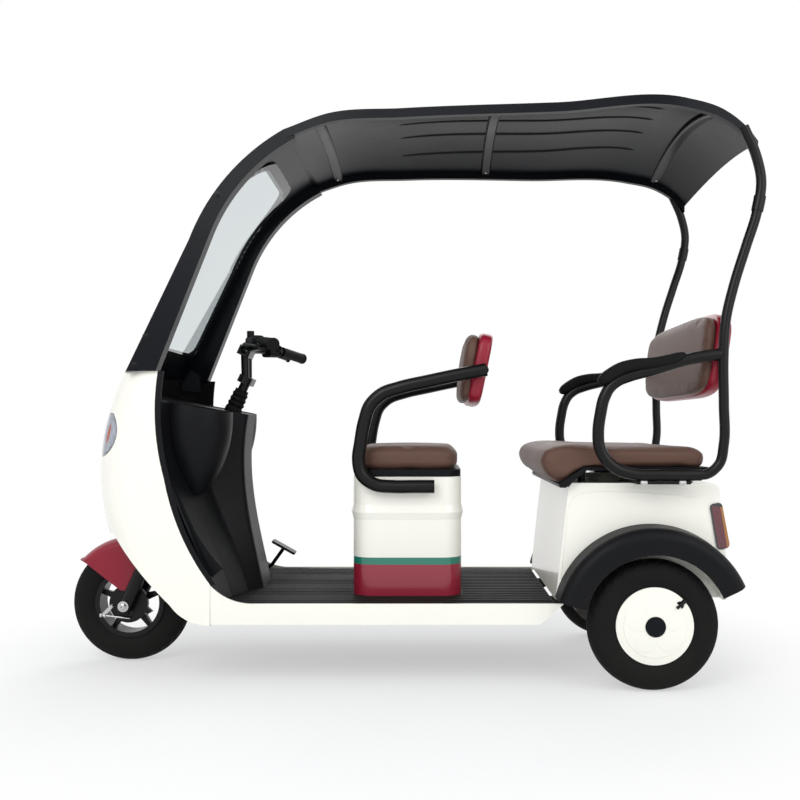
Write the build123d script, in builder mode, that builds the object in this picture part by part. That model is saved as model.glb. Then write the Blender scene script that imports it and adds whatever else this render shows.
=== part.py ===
"""Electric passenger tricycle with a full canopy, in millimetres.

+X points forward, +Y to the vehicle's left and +Z up. The origin lies on the ground under the middle
of the vehicle's overall box. One steered front wheel carries the nose, two wheels on a motor axle carry
the rear body, and a flat floor joins them. The driver sits on a bin, and passengers on the rear bench.
"""

import os
from math import atan2, cos, degrees, radians, sin, sqrt, tan

from build123d import *

os.makedirs("parts", exist_ok=True)

# Wheels: 3.00-8 tyres on eight-inch rims
WHEEL_R = 184.0
TYRE_HALF = 40.0
BEAD_R = 101.6
BEAD_HALF = 31.0
FRONT_AXLE_X = 846.0
REAR_AXLE_X = -720.0
REAR_WHEEL_Y = 360.0
AXLE_R = 7.0
STUB_R = 12.0
RUNNING_GAP = 0.05

# Steering axis: it leans back by RAKE and meets the ground ahead of the tyre's contact
RAKE = 24.5
AXIS_X = 745.0
AXIS_Z = 313.0
LEAN_X = -sin(radians(RAKE))
LEAN_Z = cos(radians(RAKE))

# Floor and skirts
FLOOR_TOP = 238.0
FLOOR_THICK = 12.0
FLOOR_HALF = 353.0
FLOOR_FRONT = 596.0
FLOOR_REAR = -452.0
SKIRT_HALF = 360.0
SKIRT_BOTTOM = 181.0
PANEL = 5.0
SEAM_X = 521.0

# Front fairing
COWL_Z = 895.0

# Canopy
PILLAR_HALF = 345.0
PILLAR_WIDTH = 45.0
ROOF_JOIN_X = 317.0
RIM_DROP = 26.0

# Rear posts and armrest loops
POST_Y = 403.0
POST_R = 14.0
LOOP_R = 16.0
LOOP_LOW_Z = 603.0

# Seats
BIN_X = -29.0
BIN_LENGTH = 324.0
BIN_HALF = 222.0
BIN_TOP = 589.0
BAR_Y = 248.0
BAR_R = 20.0
BENCH_HALF = 372.0
BODY_HALF = 340.0


def on_axis(height):
    """The point of the steering axis at a height above the ground."""
    return (AXIS_X + (height - AXIS_Z) * LEAN_X / LEAN_Z, 0, height)


def side_plane(y):
    """The upright lengthwise plane at y, with X to the right and Z up in its sketch."""
    return Plane.XZ.offset(-y)


def save(shape, name):
    """Labels a finished part and writes it."""
    shape.label = name
    export_step(shape, f"parts/{name}.step")


# Tyres: a rounded casing on the bead seat
def tyre_part(x, y):
    with BuildPart() as tyre:
        with BuildSketch(Plane.YZ.offset(x)) as casing:
            with BuildLine():
                Polyline(
                    (y - BEAD_HALF, WHEEL_R + BEAD_R),
                    (y - BEAD_HALF, WHEEL_R + BEAD_R + 10),
                    (y - TYRE_HALF, WHEEL_R + 132),
                    (y - TYRE_HALF, WHEEL_R + 156),
                    (y - 30, WHEEL_R + 175),
                )
                ThreePointArc(
                    (y - 30, WHEEL_R + 175), (y, 2 * WHEEL_R), (y + 30, WHEEL_R + 175)
                )
                Polyline(
                    (y + 30, WHEEL_R + 175),
                    (y + TYRE_HALF, WHEEL_R + 156),
                    (y + TYRE_HALF, WHEEL_R + 132),
                    (y + BEAD_HALF, WHEEL_R + BEAD_R + 10),
                    (y + BEAD_HALF, WHEEL_R + BEAD_R),
                    (y - BEAD_HALF, WHEEL_R + BEAD_R),
                )
            make_face()
            fillet(casing.vertices().filter_by(lambda v: abs(v.X - y) > TYRE_HALF - 1), 9)
        revolve(axis=Axis((x, y, WHEEL_R), (0, 1, 0)))
    return tyre.part


save(tyre_part(FRONT_AXLE_X, 0), "front_tyre")
save(tyre_part(REAR_AXLE_X, REAR_WHEEL_Y), "rear_tyre_left")
save(tyre_part(REAR_AXLE_X, -REAR_WHEEL_Y), "rear_tyre_right")


# Front rim: five cast spokes between the hub and the bead seat
RIM_BAND_R = 93.0
FLANGE_R = 108.0
FLANGE_HALF = 37.0
FRONT_HUB_R = 34.0
SPOKES = 5


def rim_band():
    """The bead seat with its two flanges, as a ring section about the wheel's own axis."""
    with BuildSketch(Plane.XY) as band:
        with BuildLine():
            Polyline(
                (RIM_BAND_R, -FLANGE_HALF),
                (FLANGE_R, -FLANGE_HALF),
                (FLANGE_R, -BEAD_HALF),
                (BEAD_R, -BEAD_HALF),
                (BEAD_R, BEAD_HALF),
                (FLANGE_R, BEAD_HALF),
                (FLANGE_R, FLANGE_HALF),
                (RIM_BAND_R, FLANGE_HALF),
                close=True,
            )
        make_face()
    return band.sketch


wheel_plane = side_plane(0).shift_origin((FRONT_AXLE_X, 0, WHEEL_R))
with BuildPart() as front_rim:
    with BuildSketch(Plane((FRONT_AXLE_X, 0, WHEEL_R), x_dir=(1, 0, 0), z_dir=(0, 0, 1))):
        add(rim_band())
    revolve(axis=Axis((FRONT_AXLE_X, 0, WHEEL_R), (0, 1, 0)))
    with BuildSketch(wheel_plane):
        Circle(FRONT_HUB_R)
    extrude(amount=26, both=True)
    with BuildSketch(wheel_plane):
        with PolarLocations(0, SPOKES, start_angle=90):
            with Locations((65, 0)):
                Trapezoid(26, 66, 84, rotation=-90)
    extrude(amount=9, both=True)
    with BuildSketch(wheel_plane):
        Circle(AXLE_R + RUNNING_GAP)
    extrude(amount=60, both=True, mode=Mode.SUBTRACT)
save(front_rim.part, "front_rim")


# Rear rims: one pressed wheel whose outer side is a shallow dome with a centre cap
CAP_R = 28.0
DOME_Y = 46.0


def rear_rim_part(side):
    y = side * REAR_WHEEL_Y
    with BuildPart() as rim:
        with BuildSketch(Plane((REAR_AXLE_X, y, WHEEL_R), x_dir=(1, 0, 0), z_dir=(0, 0, side))):
            with BuildLine():
                Polyline((0, 20), (0, DOME_Y), (CAP_R, DOME_Y), (CAP_R, DOME_Y - 3))
                ThreePointArc((CAP_R, DOME_Y - 3), (75, 41), (FLANGE_R, FLANGE_HALF))
                Polyline(
                    (FLANGE_R, FLANGE_HALF),
                    (FLANGE_R, BEAD_HALF),
                    (BEAD_R, BEAD_HALF),
                    (BEAD_R, -BEAD_HALF),
                    (FLANGE_R, -BEAD_HALF),
                    (FLANGE_R, -FLANGE_HALF),
                    (RIM_BAND_R, -FLANGE_HALF),
                    (RIM_BAND_R, 10),
                    (STUB_R + 14, 2),
                    (STUB_R + 14, -30),
                    (STUB_R + RUNNING_GAP, -30),
                    (STUB_R + RUNNING_GAP, 20),
                    (0, 20),
                )
            make_face()
        revolve(axis=Axis((REAR_AXLE_X, y, WHEEL_R), (0, 1, 0)))
    return rim.part


save(rear_rim_part(1), "rear_rim_left")
save(rear_rim_part(-1), "rear_rim_right")


# Front fairing: level sections of a rounded nose, hollow, trimmed to the side outline
# Each level: height, nose x, nose radius, half width
NOSE_LEVELS = [
    (160, 800, 600, 360),
    (400, 880, 650, 352),
    (545, 906, 700, 345),
    (694, 903, 700, 340),
    (COWL_Z, 829, 900, 333),
]


def nose_block(levels, inset, back_x, corner_r=100):
    """A solid of rounded level sections, smaller all round by inset, closed flat at back_x."""
    with BuildPart() as block:
        for z, nose_x, nose_r, half in levels:
            nose = nose_x - inset
            wide = half - inset
            corner = nose - nose_r + sqrt(nose_r**2 - wide**2)
            with BuildSketch(Plane.XY.offset(z)) as level:
                with BuildLine():
                    ThreePointArc((corner, -wide), (nose, 0), (corner, wide))
                    Polyline((corner, wide), (back_x, wide), (back_x, -wide), (corner, -wide))
                make_face()
                fillet(level.vertices().group_by(Axis.X)[-1], corner_r)
        loft()
    return block.part


def fairing_profile(shift=0):
    """The fairing's outline from the side, its rear edge moved by shift."""
    with BuildSketch(side_plane(0)) as outline:
        with BuildLine():
            Polyline((SEAM_X + shift, 178), (SEAM_X, 178)) if shift else None
            ThreePointArc((SEAM_X, 178), (575, 188), (634, 235))
            ThreePointArc((634, 235), (717, 322), (806, 432))
            Polyline((806, 432), (1000, 405), (1000, COWL_Z), (675 + shift, COWL_Z))
            ThreePointArc((675 + shift, COWL_Z), (681 + shift, 740), (655 + shift, 590))
            ThreePointArc((655 + shift, 590), (604 + shift, 430), (SEAM_X + shift, 292))
            Line((SEAM_X + shift, 292), (SEAM_X + shift, 178))
        make_face()
    return outline.sketch


nose_outside = nose_block(NOSE_LEVELS, 0, 300)
nose_inside = nose_block(NOSE_LEVELS, PANEL, 200)

# Headlamps: leaf-shaped lenses let into the nose's corners
LAMP_PLACE = (835, 290, 716)
LAMP_TURN = 48.0


def lamp_prism(side):
    """A leaf-shaped prism through one corner of the nose, along the lamp's own direction."""
    x, y, z = LAMP_PLACE
    turn = radians(LAMP_TURN)
    facing = Plane((x, side * y, z), x_dir=(-sin(turn), side * cos(turn), 0), z_dir=(cos(turn), side * sin(turn), 0))
    with BuildPart() as prism:
        with BuildSketch(facing):
            with BuildLine():
                ThreePointArc((-38, -60), (58, -8), (34, 58))
                ThreePointArc((34, 58), (-56, 10), (-38, -60))
            make_face()
        extrude(amount=90, both=True)
    return prism.part


lamp_prisms = [lamp_prism(1), lamp_prism(-1)]

with BuildPart() as front_fairing:
    add(nose_outside)
    add(nose_inside, mode=Mode.SUBTRACT)
    with BuildSketch(side_plane(0)):
        add(fairing_profile())
    extrude(amount=400, both=True, mode=Mode.INTERSECT)
    add(lamp_prisms, mode=Mode.SUBTRACT)
save(front_fairing.part, "front_fairing")

lamp_inside = nose_block(NOSE_LEVELS, 22, 200)
with BuildPart() as headlamps:
    add(lamp_prisms)
    add(nose_outside, mode=Mode.INTERSECT)
    add(lamp_inside, mode=Mode.SUBTRACT)
save(headlamps.part, "headlamps")

# Edging: a black strip that carries on from the fairing's rear edge
EDGING_WIDTH = 17.0
with BuildPart() as fairing_trim:
    add(nose_outside)
    add(nose_inside, mode=Mode.SUBTRACT)
    with BuildSketch(side_plane(0)):
        add(fairing_profile(-EDGING_WIDTH))
    extrude(amount=400, both=True, mode=Mode.INTERSECT)
    with BuildSketch(side_plane(0)):
        add(fairing_profile())
    extrude(amount=400, both=True, mode=Mode.SUBTRACT)
    with BuildSketch(side_plane(0)):
        with Locations((500, 202)):
            Rectangle(300, 182)
    extrude(amount=400, both=True, mode=Mode.SUBTRACT)
save(fairing_trim.part, "fairing_trim")


# Side skirts: a sill panel each side with an inward lip along its lower edge
SKIRT_REAR = -406.0
SKIRT_TIP = -474.0


def skirt_outline():
    with BuildSketch(side_plane(0)) as outline:
        with BuildLine():
            Polyline((SEAM_X - 1, SKIRT_BOTTOM), (SEAM_X - 1, 290))
            ThreePointArc((SEAM_X - 1, 290), (460, 250), (398, FLOOR_TOP + 2))
            Polyline((398, FLOOR_TOP + 2), (SKIRT_TIP, FLOOR_TOP + 2), (SKIRT_REAR, SKIRT_BOTTOM), (SEAM_X - 1, SKIRT_BOTTOM))
        make_face()
    return outline.sketch


with BuildPart() as side_skirts:
    with BuildSketch(side_plane(0)):
        add(skirt_outline())
    extrude(amount=SKIRT_HALF, both=True)
    with BuildSketch(Plane.YZ.offset(SEAM_X)):
        with BuildLine():
            Polyline(
                (-SKIRT_HALF + 22, 0),
                (-SKIRT_HALF + 22, SKIRT_BOTTOM + PANEL),
                (-SKIRT_HALF + PANEL, SKIRT_BOTTOM + PANEL),
                (-SKIRT_HALF + PANEL, 400),
                (SKIRT_HALF - PANEL, 400),
                (SKIRT_HALF - PANEL, SKIRT_BOTTOM + PANEL),
                (SKIRT_HALF - 22, SKIRT_BOTTOM + PANEL),
                (SKIRT_HALF - 22, 0),
                close=True,
            )
        make_face()
    extrude(amount=-1200, mode=Mode.SUBTRACT)
save(side_skirts.part, "side_skirts")

# Floor pan: a ribbed footboard that stops short of the front wheel's sweep
RIB_PITCH = 30.0
RIB_COUNT = 20
with BuildPart() as floor_pan:
    with BuildSketch(Plane.XY.offset(FLOOR_TOP - FLOOR_THICK)) as board:
        with Locations(((FLOOR_FRONT + FLOOR_REAR) / 2, 0)):
            Rectangle(FLOOR_FRONT - FLOOR_REAR, 2 * FLOOR_HALF)
        chamfer(board.vertices().group_by(Axis.X)[-1], 60)
    extrude(amount=FLOOR_THICK - 3)
    with BuildSketch(Plane.XY.offset(FLOOR_TOP - 3)):
        with Locations((-8, 0)):
            with GridLocations(0, RIB_PITCH, 1, RIB_COUNT):
                Rectangle(880, RIB_PITCH * 0.6)
    extrude(amount=3)
    with BuildSketch(Plane.XY.offset(FLOOR_TOP - 3)):
        with Locations((BIN_X, 0)):
            RectangleRounded(BIN_LENGTH + 8, 2 * BIN_HALF + 8, 60)
    extrude(amount=3)

# Chassis frame: two box rails that kick up over the rear axle, cross members and the head tube
RAIL_Y = 170.0
RAIL_WIDTH = 36.0
RAIL_HEIGHT = 28.0
RAIL_Z = FLOOR_TOP - FLOOR_THICK - RAIL_HEIGHT / 2
HEAD_LOW = 452.0
HEAD_HIGH = 640.0
HEAD_R = 27.0
STEM_R = 15.0
head_low, head_high = Vector(on_axis(HEAD_LOW)), Vector(on_axis(HEAD_HIGH))
head_plane = Plane(head_low, x_dir=(0, 1, 0), z_dir=(LEAN_X, 0, LEAN_Z))
with BuildPart() as chassis_frame:
    for side in (-1, 1):
        with BuildLine() as rail_path:
            FilletPolyline(
                (560, side * RAIL_Y, RAIL_Z),
                (-475, side * RAIL_Y, RAIL_Z),
                (-560, side * RAIL_Y, 300),
                (-880, side * RAIL_Y, 300),
                radius=40,
            )
        with BuildSketch(Plane(rail_path.line @ 0, x_dir=(0, 1, 0), z_dir=rail_path.line % 0)):
            Rectangle(RAIL_WIDTH, RAIL_HEIGHT)
        sweep(path=rail_path.line)
        with BuildLine() as down_tube:
            Line((560, side * RAIL_Y, RAIL_Z), head_low + (LEAN_X * 60, 0, LEAN_Z * 60))
        with BuildSketch(Plane(down_tube.line @ 0, z_dir=down_tube.line % 0)):
            Circle(13)
        sweep(path=down_tube.line)
    for x in (545, 250, -60, -400):
        with Locations((x, 0, RAIL_Z)):
            Box(30, 2 * FLOOR_HALF - 20, RAIL_HEIGHT)
    for x in (-575, -865):
        with Locations((x, 0, 300)):
            Box(30, 2 * RAIL_Y, RAIL_HEIGHT)
    with BuildSketch(head_plane):
        Circle(HEAD_R)
    extrude(amount=(head_high - head_low).length)
    with BuildSketch(head_plane.offset(-5)):
        Circle(STEM_R + RUNNING_GAP)
    extrude(amount=400, mode=Mode.SUBTRACT)
    with BuildSketch(head_plane.offset(-60)):
        Circle(60)
    extrude(amount=60, mode=Mode.SUBTRACT)
save(chassis_frame.part, "chassis_frame")

with BuildPart() as floor_board:
    add(floor_pan.part)
    add(chassis_frame.part, mode=Mode.SUBTRACT)
save(floor_board.part, "floor_pan")

# Leg shield: a hat-shaped wall with the steering column's cover in its middle
# Each level: height, side x, recess x, column x, half width
SHIELD_LEVELS = [
    (FLOOR_TOP, 500, 486, 418, 346),
    (340, 540, 520, 440, 343),
    (560, 634, 606, 477, 337),
    (830, 655, 632, 454, 329),
]
SHIELD_WALL = 5.0
DECK_LOW = (452, 772)
DECK_HIGH = (716, 818)
POCKET_X = 596.0
POCKET_Y = 200.0
POCKET_R = 104.0
POCKET_BOTTOM = 540.0
BOOT_Z = 792.0
BOOT_R = 27.0


def shield_block(inset):
    """The space in front of the leg shield. With an inset it is drawn in from the wall and runs past the ends."""
    past = 12 if inset else 0
    last = len(SHIELD_LEVELS) - 1
    with BuildPart() as block:
        for index, (z, side_x, recess_x, column_x, half) in enumerate(SHIELD_LEVELS):
            height = z - past if index == 0 else z + past if index == last else z
            with BuildSketch(Plane.XY.offset(height)) as level:
                with BuildLine():
                    Polyline(
                        (side_x + 40 + past, half + past),
                        (side_x + inset, half + past),
                        (recess_x + inset, 230),
                        (recess_x - 30 + inset, 120 - inset),
                        (column_x + inset, 74 - inset),
                        (column_x + inset, -74 + inset),
                        (recess_x - 30 + inset, -120 + inset),
                        (recess_x + inset, -230),
                        (side_x + inset, -half - past),
                        (side_x + 40 + past, -half - past),
                        close=True,
                    )
                make_face()
                fillet(level.vertices().filter_by(lambda v: abs(v.Y) < 240), 22)
        loft()
    return block.part


def pocket_bowl(side, inset):
    """A half-elliptic bowl below the deck, drawn in by inset."""
    y = side * POCKET_Y
    with BuildPart() as bowl:
        with BuildSketch(Plane((POCKET_X, y, 0), x_dir=(1, 0, 0), z_dir=(0, -1, 0))):
            with BuildLine():
                Line((0, 830), (0, POCKET_BOTTOM + inset))
                Line((0, POCKET_BOTTOM + inset), (30, POCKET_BOTTOM + inset))
                ThreePointArc((30, POCKET_BOTTOM + inset), (84 - inset, 640), (POCKET_R - inset, 800))
                Polyline((POCKET_R - inset, 800), (POCKET_R - inset, 830), (0, 830))
            make_face()
        revolve(axis=Axis((POCKET_X, y, 0), (0, 0, 1)))
    return bowl.part


def deck_profile(thick):
    """The dash deck from the side: a plate that rises forwards from the column."""
    with BuildSketch(side_plane(0)) as deck:
        with BuildLine():
            Polyline(
                (DECK_LOW[0], DECK_LOW[1] - thick),
                DECK_LOW,
                DECK_HIGH,
                (860, 860),
                (860, 860 - thick),
                (DECK_HIGH[0], DECK_HIGH[1] - thick),
                close=True,
            )
        make_face()
    return deck.sketch


with BuildPart() as below_deck:
    with BuildSketch(side_plane(0)):
        with BuildLine():
            Polyline((300, 200), (300, 746), DECK_LOW, DECK_HIGH, (860, 860), (1000, 860), (1000, 200), close=True)
        make_face()
    extrude(amount=400, both=True)

with BuildPart() as dash_space:
    add(shield_block(0))
    with Locations((860, 0, 700)):
        Box(340, 700, 400)

with BuildPart() as dash_panel:
    with BuildSketch(side_plane(0)):
        add(deck_profile(SHIELD_WALL))
    extrude(amount=400, both=True)
    add(dash_space.part, mode=Mode.INTERSECT)
    add(nose_inside, mode=Mode.INTERSECT)
    add((shield_block(0) - shield_block(SHIELD_WALL)) & below_deck.part)
    for side in (-1, 1):
        add(pocket_bowl(side, 0) & below_deck.part)
    for side in (-1, 1):
        add(pocket_bowl(side, 4), mode=Mode.SUBTRACT)
    with Locations((on_axis(BOOT_Z)[0], 0, BOOT_Z)):
        Cylinder(BOOT_R - 3, 60, mode=Mode.SUBTRACT)
save(dash_panel.part, "dash_panel")

# Steering boot: a ribbed rubber bellows on the deck around the steering stem
BOOT_LOW = 780.0
with BuildPart() as steering_boot:
    with BuildSketch(Plane(on_axis(BOOT_LOW), x_dir=(0, 1, 0), z_dir=(LEAN_Z, 0, -LEAN_X))):
        with BuildLine():
            Polyline(
                (18, 0), (BOOT_R, 0), (BOOT_R, 16), (BOOT_R - 4, 24), (BOOT_R, 32), (BOOT_R - 4, 40),
                (BOOT_R - 1, 48), (BOOT_R - 5, 56), (BOOT_R - 2, 64), (BOOT_R - 6, 72), (BOOT_R - 6, 80), (18, 80),
                close=True,
            )
        make_face()
    revolve(axis=Axis(on_axis(BOOT_LOW), (LEAN_X, 0, LEAN_Z)))
    add(dash_panel.part, mode=Mode.SUBTRACT)
save(steering_boot.part, "steering_boot")

# Windscreen frame: pillars, a front skin with the window cut in it and a cowl over the nose
WINDOW_HALF = 232.0
WINDOW_LOW = 985.0
WINDOW_HIGH = 1516.0
SKIN_SHIFT = (-7.0, -4.5)


def front_edge(shift_x, shift_z):
    """The screen's front line from the cowl up to the roof joint."""
    Line((762 + shift_x, COWL_Z + shift_z), (584 + shift_x, 1266 + shift_z))
    ThreePointArc(
        (584 + shift_x, 1266 + shift_z),
        (461 + shift_x, 1463 + shift_z),
        (ROOF_JOIN_X + shift_x, 1577 + shift_z),
    )


def window_outline(grow):
    """The window seen from the front, with wide upper corners."""
    with BuildSketch(Plane.YZ) as window:
        with Locations((0, (WINDOW_LOW + WINDOW_HIGH) / 2)):
            Rectangle(2 * (WINDOW_HALF + grow), WINDOW_HIGH - WINDOW_LOW + 2 * grow)
        fillet(window.vertices().group_by(Axis.Y)[-1], 110)
        fillet(window.vertices().group_by(Axis.Y)[0], 40)
    return window.sketch


# Each level: height, nose x, nose radius, half width
COWL_LEVELS = [(COWL_Z, 829, 900, 333), (COWL_Z + 50, 777, 1600, 335), (COWL_Z + 110, 709, 6000, 338)]
with BuildPart() as ahead_of_skin:
    with BuildSketch(side_plane(0)):
        with BuildLine():
            Polyline((755, COWL_Z), (900, COWL_Z), (900, 1003), (703, 1003), close=True)
        make_face()
    extrude(amount=400, both=True)
with BuildPart() as cowl_hollow:
    with Locations((700, 0, COWL_Z + 45)):
        Box(400, 2 * (PILLAR_HALF - PILLAR_WIDTH), 110)

with BuildPart() as windscreen_frame:
    with BuildSketch(side_plane(0)):
        with BuildLine():
            front_edge(0, 0)
            Line((ROOF_JOIN_X, 1577), (283, 1553))
            ThreePointArc((283, 1553), (430, 1438), (522, 1290))
            Polyline((522, 1290), (678, COWL_Z), (762, COWL_Z))
        make_face()
    extrude(amount=PILLAR_HALF, both=True)
    with BuildSketch(side_plane(0)):
        with BuildLine():
            front_edge(*SKIN_SHIFT)
            Polyline(
                (ROOF_JOIN_X + SKIN_SHIFT[0], 1577 + SKIN_SHIFT[1]),
                (200, 1500),
                (500, COWL_Z - 50),
                (762 + SKIN_SHIFT[0], COWL_Z - 50),
                (762 + SKIN_SHIFT[0], COWL_Z + SKIN_SHIFT[1]),
            )
        make_face()
    extrude(amount=PILLAR_HALF - PILLAR_WIDTH, both=True, mode=Mode.SUBTRACT)
    add(nose_block(COWL_LEVELS, 0, 600, 60) & ahead_of_skin.part)
    add(nose_block(COWL_LEVELS, 6, 500, 60) & cowl_hollow.part, mode=Mode.SUBTRACT)
    extrude(window_outline(0), amount=1000, mode=Mode.SUBTRACT)
save(windscreen_frame.part, "windscreen_frame")

# Windscreen: a bent pane bonded behind the window
PANE_SHIFT = (-12.0, -7.5)
with BuildPart() as windscreen:
    with BuildSketch(side_plane(0)):
        with BuildLine():
            front_edge(*SKIN_SHIFT)
            Line((ROOF_JOIN_X + SKIN_SHIFT[0], 1577 + SKIN_SHIFT[1]), (ROOF_JOIN_X + PANE_SHIFT[0], 1577 + PANE_SHIFT[1]))
            front_edge(*PANE_SHIFT)
            Line((762 + PANE_SHIFT[0], COWL_Z + PANE_SHIFT[1]), (762 + SKIN_SHIFT[0], COWL_Z + SKIN_SHIFT[1]))
        make_face()
    extrude(amount=PILLAR_HALF - PILLAR_WIDTH - 4, both=True)
    extrude(window_outline(14), amount=1000, mode=Mode.INTERSECT)
save(windscreen.part, "windscreen")

# Roof: arched cross-sections with a deep rim, wider towards the rear
# Each section: x, half width, height of the rim's top, rise of the crown
ROOF_SECTIONS = [
    (ROOF_JOIN_X, 345, 1577, 6),
    (190, 372, 1615, 34),
    (-20, 398, 1620, 58),
    (-450, 420, 1630, 68),
    (-800, 425, 1641, 62),
    (-905, 414, 1616, 56),
    (-985, 400, 1553, 44),
]
RIM_WIDTH = 20.0
ROOF_THICK = 6.0
with BuildPart() as roof_panel:
    for x, half, rim_z, rise in ROOF_SECTIONS:
        with BuildSketch(Plane.YZ.offset(x)):
            with BuildLine():
                ThreePointArc((-half, rim_z), (0, rim_z + rise), (half, rim_z))
                Polyline(
                    (half, rim_z),
                    (half, rim_z - RIM_DROP),
                    (half - RIM_WIDTH, rim_z - RIM_DROP),
                    (half - RIM_WIDTH, rim_z - ROOF_THICK),
                )
                ThreePointArc(
                    (half - RIM_WIDTH, rim_z - ROOF_THICK),
                    (0, rim_z + rise - ROOF_THICK),
                    (-half + RIM_WIDTH, rim_z - ROOF_THICK),
                )
                Polyline(
                    (-half + RIM_WIDTH, rim_z - ROOF_THICK),
                    (-half + RIM_WIDTH, rim_z - RIM_DROP),
                    (-half, rim_z - RIM_DROP),
                    (-half, rim_z),
                )
            make_face()
    loft()
    add(windscreen_frame.part, mode=Mode.SUBTRACT)
save(roof_panel.part, "roof_panel")


def tube(points, radii, r):
    """A round tube of radius r along straight runs joined by tangent arcs."""
    with BuildPart() as made:
        with BuildLine() as path:
            FilletPolyline(*points, radius=radii)
        with BuildSketch(Plane(path.line @ 0, z_dir=path.line % 0)):
            Circle(r)
        sweep(path=path.line)
    return made.part


def bowed_bar(x, half, end_z, rise, r):
    """A round bar bowed upwards between two points of equal height."""
    with BuildPart() as bar:
        with BuildLine() as bow:
            ThreePointArc((x, -half, end_z), (x, 0, end_z + rise), (x, half, end_z))
        with BuildSketch(Plane(bow.line @ 0, z_dir=bow.line % 0)):
            Circle(r)
        sweep(path=bow.line)
    return bar.part


# Roof cross bars: bowed tubes from rim to rim under the canopy
with BuildPart() as roof_bars:
    add([bowed_bar(-12, 376, 1598, 42, 9), bowed_bar(-760, 400, 1616, 42, 9)])
save(roof_bars.part, "roof_bars")

# Rear posts: bent tubes from the roof's rear corners down beside the bench
POST_POINTS = [(-985, 1545), (-1026, 1422), (-907, 1040), (-909, 603), (-843, 603)]
POST_BENDS = [100, 120, 60]
side_tubes = []
for side, place in ((1, "left"), (-1, "right")):
    with BuildPart() as rear_post:
        add(tube([(x, side * POST_Y, z) for x, z in POST_POINTS], POST_BENDS, POST_R))
        with BuildSketch(Plane((-984, side * POST_Y, 1302), z_dir=(0.295, 0, -0.955))):
            Circle(POST_R + 3)
        extrude(amount=32)
        add(roof_panel.part, mode=Mode.SUBTRACT)
    save(rear_post.part, f"rear_post_{place}")

    # Armrest loop: it leaves the post, runs forwards, drops and returns under the bench
    with BuildPart() as armrest_loop:
        add(
            tube(
                [
                    (-907, side * POST_Y, 934),
                    (-628, side * POST_Y, 902),
                    (-560, side * POST_Y, 850),
                    (-560, side * POST_Y, LOOP_LOW_Z),
                    (-843, side * POST_Y, LOOP_LOW_Z),
                ],
                [40, 30, 78],
                LOOP_R,
            )
        )
        add(rear_post.part, mode=Mode.SUBTRACT)
    save(armrest_loop.part, f"armrest_loop_{place}")
    side_tubes += [rear_post.part, armrest_loop.part]

# Armrest pads: foam grips moulded around the loops' upper runs
with BuildPart() as armrest_pads:
    for side in (1, -1):
        add(
            tube(
                [
                    (-800, side * POST_Y, 921.7),
                    (-628, side * POST_Y, 902),
                    (-560, side * POST_Y, 850),
                    (-560, side * POST_Y, 828),
                ],
                [40, 30],
                23,
            )
            - tube(
                [
                    (-907, side * POST_Y, 934),
                    (-628, side * POST_Y, 902),
                    (-560, side * POST_Y, 850),
                    (-560, side * POST_Y, LOOP_LOW_Z),
                    (-843, side * POST_Y, LOOP_LOW_Z),
                ],
                [40, 30, 78],
                LOOP_R,
            )
        )
save(armrest_pads.part, "armrest_pads")

# Rear body: a white moulded box with wheel arches, a storage tub and a cut-out for the tail lamps
BODY_FRONT_LOW = (-453, 247)
BODY_FRONT_HIGH = (-489, 574)
BODY_REAR_HIGH = (-893, 578)
BODY_REAR_LOW = (-934, 247)
ARCH_R = 216.0
ARCH_WALL_Y = 292.0
TUB_FLOOR = 335.0
HATCH_FRONT = -590.0
HATCH_REAR = -822.0
HATCH_HALF = 262.0
hub_line = Axis((REAR_AXLE_X, 0, WHEEL_R), (0, 1, 0))


def body_outline(inset, drop):
    """The body's side outline drawn in by inset and open below by drop."""
    with BuildSketch(side_plane(0)) as outline:
        with BuildLine():
            Polyline(
                (BODY_FRONT_LOW[0] - inset, BODY_FRONT_LOW[1] - drop),
                (BODY_FRONT_LOW[0] - inset, BODY_FRONT_LOW[1]),
                (BODY_FRONT_HIGH[0] - inset, BODY_FRONT_HIGH[1] - 8),
                (BODY_FRONT_HIGH[0] - 10, BODY_REAR_HIGH[1] - inset),
                (BODY_REAR_HIGH[0], BODY_REAR_HIGH[1] - inset),
            )
            ThreePointArc(
                (BODY_REAR_HIGH[0], BODY_REAR_HIGH[1] - inset),
                (-911 + inset * 0.8, 566 - inset * 0.6),
                (-917 + inset, 544),
            )
            Polyline(
                (-917 + inset, 544),
                (-937 + inset, 340),
                (BODY_REAR_LOW[0] + inset, BODY_REAR_LOW[1]),
                (BODY_REAR_LOW[0] + inset, BODY_REAR_LOW[1] - drop),
                (BODY_FRONT_LOW[0] - inset, BODY_FRONT_LOW[1] - drop),
            )
        make_face()
    return outline.sketch


# Tail lamps: upright lenses round the body's rear corners
def tail_lamp_prism(side):
    with BuildPart() as prism:
        with BuildSketch(side_plane(side * 313)) as lens:
            with BuildLine():
                Polyline((-886, 518), (-921, 524), (-945, 396), (-908, 388), close=True)
            make_face()
            fillet(lens.vertices(), 12)
        extrude(amount=31, both=True)
    return prism.part


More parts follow.
